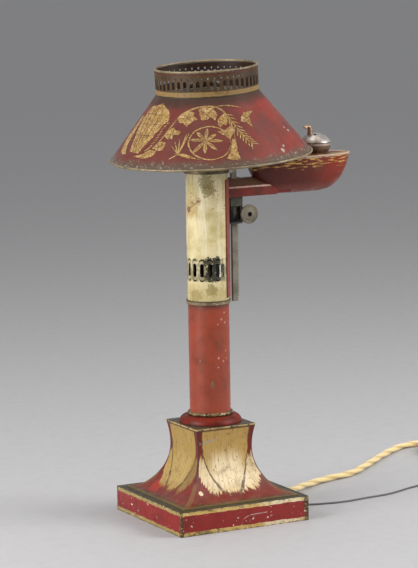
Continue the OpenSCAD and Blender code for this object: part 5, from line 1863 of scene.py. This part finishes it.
class Ornament:
    """The gilt spray on the shade, as outlines of angle in degrees and height in millimetres."""

    LEAVES: tuple[tuple[Flat, ...], ...] = (
        ((180.8, 14.8), (169.1, 45.3), (172.7, 56.1), (190.7, 59.9), (203.3, 53.6), (206.8, 46),
         (202.4, 41.7), (192.2, 19.5), (190.6, 14.2)),
        ((166.6, 13.3), (161.1, 25.8), (161.6, 45.8), (166.6, 47.4), (167.6, 39.4), (171.2, 18.9),
         (176.6, 12.3), (173.2, 10.7)),
        ((187.7, 11.1), (196.7, 10.3), (203.3, 12.7), (205.4, 16.9), (199.6, 17.9), (195.1, 13.8)),
        ((201.4, 19.8), (206.7, 26.5), (210.5, 24.8), (209.9, 18.5), (205.2, 18.7)),
        ((207.8, 31.9), (210.3, 36.5), (213.9, 39.3), (215.4, 37.1), (220.3, 35.3), (218.8, 33.1),
         (214.8, 32.6), (214.8, 29.4), (210.9, 28.9)),
        ((215.2, 47.5), (218.8, 52.1), (224.2, 54.3), (229.3, 51.9), (228.6, 49.7), (233.2, 46.8),
         (228.3, 44.7), (224.3, 40.7), (221.1, 43.9), (217.1, 43.9)),
        ((233.6, 55.4), (239.3, 57), (246.8, 56.1), (249.7, 50), (247.4, 45.1), (243.4, 48.1), (240.4, 46),
         (236.6, 45.7), (234.8, 50.8)),
        ((250.3, 44.9), (254.9, 49.5), (257.6, 51.1), (257.6, 43.7), (256.2, 39.3), (254.2, 41.3),
         (251.4, 38.8), (249.7, 40.8)),
        ((248.6, 34.5), (253.9, 34.9), (260.1, 38.8), (260.2, 32.4), (256.2, 27.3), (253.2, 30.4)),
        ((218.4, 16), (226.4, 15.1), (232.9, 11.3), (235.9, 9.8), (229.2, 11.4), (222.7, 13.8)),
        ((252.3, 9.6), (255.4, 16.5), (258.1, 26.2), (260.5, 25.9), (259.2, 16), (260.1, 7.6), (256.2, 7.3)),
        ((271.5, 46.4), (277, 49.4), (285.2, 49.8), (278, 45.5), (277, 35.6), (273.9, 39.9), (269.6, 41.9)),
    )
    STEM: tuple[Flat, ...] = (
        (201.4, 19.8), (205, 26.4), (207.9, 32.8), (210.9, 40.2), (215.1, 48), (220.6, 53), (228.7, 56.5),
        (238.3, 58.1), (248, 57.4), (255.7, 53.2), (259.3, 45.4), (260.7, 36), (260, 26.9),
    )
    FERN: tuple[Flat, ...] = ((254.1, 54.2), (259.6, 46.8), (264.1, 35.6), (267.8, 26.7), (271.5, 19.6))
    WISP: tuple[Flat, ...] = ((248.9, 57.4), (260.9, 57.8), (275.3, 54.4))
    RING: tuple[Flat, ...] = (
        (256.8, 22.9), (251.3, 12.7), (241.9, 9.3), (232.6, 14.3), (227.6, 25.1), (231.4, 35.6),
        (243.1, 39.5), (254.2, 34), (256.8, 22.9),
    )
    ROSETTE: Flat = (239.3, 27.1)
    PETALS: tuple[Flat, ...] = (
        (241, 38.3), (232.7, 35.1), (228.3, 28), (231, 15.6), (238.9, 15), (246.7, 17.4), (251.4, 25.6),
        (247.6, 32.3),
    )
    GRASS_ROOT: Flat = (221.9, 15.1)
    GRASS: tuple[Flat, ...] = (
        (216.4, 10.6), (216.1, 22.3), (217.4, 26.8), (220.8, 28.6), (224.2, 25), (225.4, 33), (227.1, 33.9)
    )
    COMB: tuple[Flat, ...] = ((195.2, 16.6), (198.1, 21.4), (200.3, 28.8), (202.5, 37.1), (206.4, 44.6))
    SHEAF_VEINS: tuple[tuple[Flat, Flat], ...] = (
        ((184, 15), (174, 54)), ((186, 15), (180, 57)), ((187.5, 15), (187, 58)), ((189, 15.5), (195, 55)),
        ((171, 50), (200, 50)), ((173, 40), (199, 42)), ((176, 30), (195, 31)),
    )
    DEGREE = 1.36
    SLANT = 1.268
    LONGEST = 4.5
    LAYER = 0.012
    LAYERS = 12

    def flat(self, point: Flat) -> Vector:
        """Unrolls a point of the cone to millimetres."""
        return Vector((point[0] * self.DEGREE, point[1] * self.SLANT))

    def back(self, point: Vector) -> Flat:
        """Rolls a flat point back onto the cone."""
        return (point.x / self.DEGREE, point.y / self.SLANT)

    def stroke(self, line: Sequence[Flat], wide: float, steps: int = 5) -> list[Vector]:
        """Gives the outline of a brush stroke with thin ends.

        Args:
            line: the stroke's middle line, as angle and height.
            wide: its width in millimetres.
            steps: points between two given ones.

        Returns:
            The outline's flat points.
        """
        middle = softened([self.flat(p) for p in line], steps)
        left, right = [], []
        for i, at in enumerate(middle):
            way = (middle[min(i + 1, len(middle) - 1)] - middle[max(i - 1, 0)]).normalized()
            t = i / (len(middle) - 1)
            half = wide / 2 * max(0.25, math.sin(math.pi * min(max(t, 0.04), 0.96)) ** 0.5)
            aside = Vector((-way.y, way.x)) * half
            left.append(at + aside)
            right.append(at - aside)
        return left + right[::-1]

    def frayed(self, outline: Sequence[Vector], rng: random.Random) -> list[Vector]:
        """Gives a leaf's outline the small teeth of a brush.

        Args:
            outline: the leaf's flat corners.
            rng: seeded source of the teeth.

        Returns:
            The outline with more points, slightly larger than before.
        """
        middle = sum(outline, Vector((0.0, 0.0))) / len(outline)
        made = []
        for a, b in zip(outline, [*outline[1:], outline[0]]):
            count = max(2, round((b - a).length / 1.7))
            for k in range(count):
                at = a.lerp(b, k / count)
                out = (at - middle).normalized()
                made.append(at + out * (0.35 + rng.uniform(-0.55, 0.75)))
        return made

    def petal(self, root: Flat, tip: Flat, wide: float) -> list[Vector]:
        """Gives a pointed petal from a root to a tip."""
        a, b = self.flat(root), self.flat(tip)
        way = b - a
        aside = Vector((-way.y, way.x)).normalized() * wide / 2
        shares = [k / 8 for k in range(9)]
        bulge = [math.sin(math.pi * s) ** 0.7 * (0.75 + 0.5 * s) for s in shares]
        left = [a + way * s + aside * k for s, k in zip(shares, bulge)]
        right = [a + way * s - aside * k for s, k in zip(shares, bulge)][1:-1]
        return left + right[::-1]

    def leaflets(self) -> list[list[Vector]]:
        """Gives the fern's leaflets on both sides of its stem."""
        stem = softened([self.flat(p) for p in self.FERN], 3)
        made = []
        for i in range(2, len(stem) - 1):
            way = (stem[i + 1] - stem[i - 1]).normalized()
            long = 10.0 - 2.5 * i / len(stem)
            for s in (-1, 1):
                tip = stem[i] + (way * 0.8 + Vector((-way.y, way.x)) * s * 0.62) * long
                made.append(self.petal(self.back(stem[i]), self.back(tip), 1.25))
        return made

    def gold(self) -> list[list[Vector]]:
        """Gives every gilt outline."""
        rng = random.Random(11)
        made = [self.frayed([self.flat(p) for p in leaf], rng) for leaf in self.LEAVES]
        made += [self.stroke(self.STEM, 1.9), self.stroke(self.FERN, 1.3), self.stroke(self.WISP, 1.1)]
        made += [self.stroke(self.RING, 1.5, 6)]
        made += [self.petal(self.ROSETTE, tip, 3.4) for tip in self.PETALS]
        made += [self.petal(self.ROSETTE, (self.ROSETTE[0] + a, self.ROSETTE[1] + b), 2.6)
                 for a, b in ((1.8, 0.0), (-1.8, 0.0), (0.0, 1.9), (0.0, -1.9))]
        made += [self.stroke((self.GRASS_ROOT, tip), 1.2) for tip in self.GRASS]
        for i in range(len(self.COMB) - 1):
            a, b = self.flat(self.COMB[i]), self.flat(self.COMB[i + 1])
            for k in range(3):
                at = a.lerp(b, k / 3)
                made.append(self.stroke((self.back(at), self.back(at + Vector((4.2, 2.2)))), 0.9))
        return made + self.leaflets()

    def veins(self) -> list[list[Vector]]:
        """Gives the thin dark lines that are drawn into the gilding."""
        made = [self.stroke(line, 0.5) for line in self.SHEAF_VEINS]
        for leaf in self.LEAVES[3:9] + self.LEAVES[11:]:
            points = [self.flat(p) for p in leaf]
            middle = sum(points, Vector((0.0, 0.0))) / len(points)
            for p in points[::2]:
                made.append(self.stroke((self.back(middle), self.back(middle.lerp(p, 0.8))), 0.45))
        made += [
            self.stroke((self.ROSETTE, self.back(self.flat(self.ROSETTE).lerp(self.flat(tip), 0.75))), 0.4)
            for tip in self.PETALS
        ]
        return made

    def lay(
        self, name: str, outlines: Sequence[Sequence[Vector]], lift: float, turns: Sequence[float]
    ) -> bpy.types.Object:
        """Lays outlines on the cone as thin leaf.

        Args:
            name: the piece's name.
            outlines: flat outlines.
            lift: height above the paint in millimetres.
            turns: degrees by which each copy is turned round the shade.

        Returns:
            The thin mesh.
        """
        points: list[Vector] = []
        faces: list[list[int]] = []
        for turn in turns:
            for order, outline in enumerate(outlines):
                mesh = bmesh.new()
                mesh.faces.new([mesh.verts.new((p.x, p.y, 0.0)) for p in outline])
                bmesh.ops.triangulate(mesh, faces=mesh.faces[:])
                for _ in range(4):
                    long = [e for e in mesh.edges if e.calc_length() > self.LONGEST]
                    if not long:
                        break
                    bmesh.ops.subdivide_edges(mesh, edges=long, cuts=1)
                    bmesh.ops.triangulate(mesh, faces=mesh.faces[:])
                start = len(points)
                raise_by = lift + self.LAYER * (order % self.LAYERS)
                mesh.verts.index_update()
                for v in mesh.verts:
                    angle, height = self.back(v.co)
                    points.append(SHADE.on_cone(angle + turn, height, raise_by))
                for face in mesh.faces:
                    corners = [start + v.index for v in face.verts]
                    faces.append(corners if face.normal.z > 0 else corners[::-1])
                mesh.free()
        piece = from_mesh(name, points, faces)
        outside = SHADE.matrix() @ Vector((0, 0, 0.03))
        for face in piece.data.polygons:
            if face.normal.dot(face.center - outside) < 0:
                face.flip()
        thicken(piece, lift)
        smooth(piece, 40.0)
        return piece


@dataclass(frozen=True)
class Shade:
    """The painted shade with its pierced collar and gilt spray."""

    wall: float = 0.9
    steps: int = 144
    spray_turns: tuple[float, ...] = (0.0, 180.0)
    gold_lift: float = 0.15
    vein_lift: float = 0.33

    def skin(self) -> bpy.types.Object:
        """Spins the cone and sets it in the shade's lean."""
        rows = 10
        profile = []
        for k in range(rows + 1):
            h = SHADE.cone_low + (SHADE.cone_high - SHADE.cone_low) * k / rows
            profile.append((SHADE.foot_r - SHADE.slope * h, h))
        piece = spun("shade_skin", profile, self.steps, False)
        if piece.data.polygons[0].normal.dot(piece.data.polygons[0].center) < 0:
            piece.data.flip_normals()
        thicken(piece, self.wall)
        piece.data.transform(SHADE.matrix())
        smooth(piece, 40.0)
        return dress(piece, FINISHES.shade, Body.SHADE, Slot.RED, "shade_cone")

    def build(self) -> None:
        """Makes the cone and its ornament, and paints the solids."""
        self.skin()
        ornament = Ornament()
        gold = ornament.lay("shade_gilding", ornament.gold(), self.gold_lift, self.spray_turns)
        dress(gold, FINISHES.gilding, Body.SHADE, Slot.GILT)
        veins = ornament.lay("shade_veins", ornament.veins(), self.vein_lift, self.spray_turns)
        dress(veins, FINISHES.vein, Body.SHADE, Slot.RED)
        paint(FINISHES.collar, "shade_collar")
        paint(FINISHES.wire, "shade_top_wire", "shade_bottom_wire")
        paint(FINISHES.brass, "shade_carrier", "shade_seat_ring")


@dataclass(frozen=True)
class ElectricLight:
    """Lampholder, bulb and inner flex."""

    stem_low: float = 412.0
    stem_high: float = 430.0
    coil_z: float = 441.0
    coil_r: float = 8.0
    wire: float = 0.22
    bends: int = 12
    sweep: float = 0.88
    zigzag: float = 5.0

    def filament(self) -> bpy.types.Object:
        """Makes the bulb's stem with a zigzag filament on its supports."""
        profile = [
            (0.0, self.stem_high + 4.0), (1.1, self.stem_high + 3.6), (1.3, self.stem_high),
            (2.0, self.stem_high - 5.0), (3.6, self.stem_low + 4.0), (4.6, self.stem_low),
            (0.0, self.stem_low),
        ]
        piece = spun("bulb_filament", profile, 24, False)
        ring = []
        for k in range(self.bends + 1):
            way = math.tau * self.sweep * k / self.bends
            lift = self.zigzag if k % 2 else -self.zigzag
            ring.append(
                Vector((self.coil_r * math.cos(way), self.coil_r * math.sin(way), self.coil_z + lift))
            )
        foot = Vector((0.6, 0.0, self.stem_high + 2.0))
        line = [p * MM for p in [foot, *ring, Vector((0.6, -0.6, self.stem_high + 2.0))]]
        section = circle(self.wire * MM, 6)
        thread = tube("thread", line, lambda length: section)
        take(piece)
        thread.select_set(True)
        bpy.ops.object.join()
        smooth(piece, 45.0)
        return dress(piece, FINISHES.bright_brass, Body.LAMP, Slot.BRASS)

    def build(self) -> None:
        """Makes the filament and paints the electric fittings."""
        self.filament()
        paint(FINISHES.brass, "lampholder", "bulb_cap")
        paint(FINISHES.porcelain, "holder_insert")
        paint(FINISHES.plastic, "switch_bar")
        paint(FINISHES.glass, "bulb_glass")
        paint(FINISHES.plastic, "inner_flex")


@dataclass(frozen=True)
class Lamp:
    """One soft studio light."""

    name: str
    at: Place
    size: float
    power: float


@dataclass(frozen=True)
class Studio:
    """Floor, lights and camera."""

    focal_px: float = 2599.0
    frame_px: float = 568.0
    sensor: float = 36.0
    azimuth: float = -0.4819
    pitch: float = 0.1454
    roll: float = -0.0167
    distance: float = 2710.6
    aim_x: float = 0.8073
    aim_z: float = 246.093
    clip: float = 150.0
    floor_side: float = 90.0
    sky: float = 0.45
    sky_colour: Colour = (0.95, 0.97, 1.0)
    lit: Place = (0.0, 0.0, 0.25)
    lamps: tuple[Lamp, ...] = (
        Lamp("key", (1250.0, -950.0, 1100.0), 0.9, 28.0),
        Lamp("fill", (-1500.0, -150.0, 850.0), 1.0, 28.0),
        Lamp("top", (0.0, 100.0, 1900.0), 1.4, 10.0),
    )

    def camera(self) -> None:
        """Sets the camera at the photograph's angle."""
        a, p, r = self.azimuth, self.pitch, self.roll
        target = Vector((self.aim_x * math.cos(a), self.aim_x * math.sin(a), self.aim_z))
        back = Vector((math.sin(a) * math.cos(p), -math.cos(a) * math.cos(p), math.sin(p)))
        right = Vector((math.cos(a), math.sin(a), 0.0))
        up = back.cross(right)
        across = math.cos(r) * right + math.sin(r) * up
        above = -math.sin(r) * right + math.cos(r) * up
        data = bpy.data.cameras.new("view")
        data.sensor_width = self.sensor
        data.lens = self.focal_px * self.sensor / self.frame_px
        data.clip_end = self.clip
        eye = bpy.data.objects.new("view", data)
        bpy.context.scene.collection.objects.link(eye)
        turn = Matrix((across, above, back)).transposed().to_4x4()
        eye.matrix_world = Matrix.Translation((target + self.distance * back) * MM) @ turn
        bpy.context.scene.camera = eye

    def floor(self) -> None:
        """Lays the pale floor."""
        deselect()
        bpy.ops.mesh.primitive_plane_add(size=self.floor_side)
        plane = bpy.context.object
        plane.name = "floor"
        plane.data.materials.append(FINISHES.get(FINISHES.floor))

    def build(self) -> None:
        """Sets floor, world, lamps and camera."""
        self.floor()
        self.camera()
        scene = bpy.context.scene
        world = bpy.data.worlds.new("studio")
        world.use_nodes = True
        sky = world.node_tree.nodes["Background"]
        sky.inputs["Color"].default_value = (*self.sky_colour, 1.0)
        sky.inputs["Strength"].default_value = self.sky
        scene.world = world
        scene.view_settings.view_transform = "Standard"
        for lamp in self.lamps:
            data = bpy.data.lights.new(lamp.name, "AREA")
            data.size = lamp.size
            data.energy = lamp.power
            light = bpy.data.objects.new(lamp.name, data)
            scene.collection.objects.link(light)
            light.location = Vector(lamp.at) * MM
            way = Vector(self.lit) - light.location
            light.rotation_euler = way.to_track_quat("-Z", "Y").to_euler()


def main() -> None:
    """Builds the lamp's looks, sub-assembly by sub-assembly."""
    logging.basicConfig(level=logging.INFO, format="%(message)s")
    Studio().build()
    Cords().build()
    Stand().build()
    Column().build()
    OilSide().build()
    Shade().build()
    ElectricLight().build()


if __name__ == "__main__":
    main()
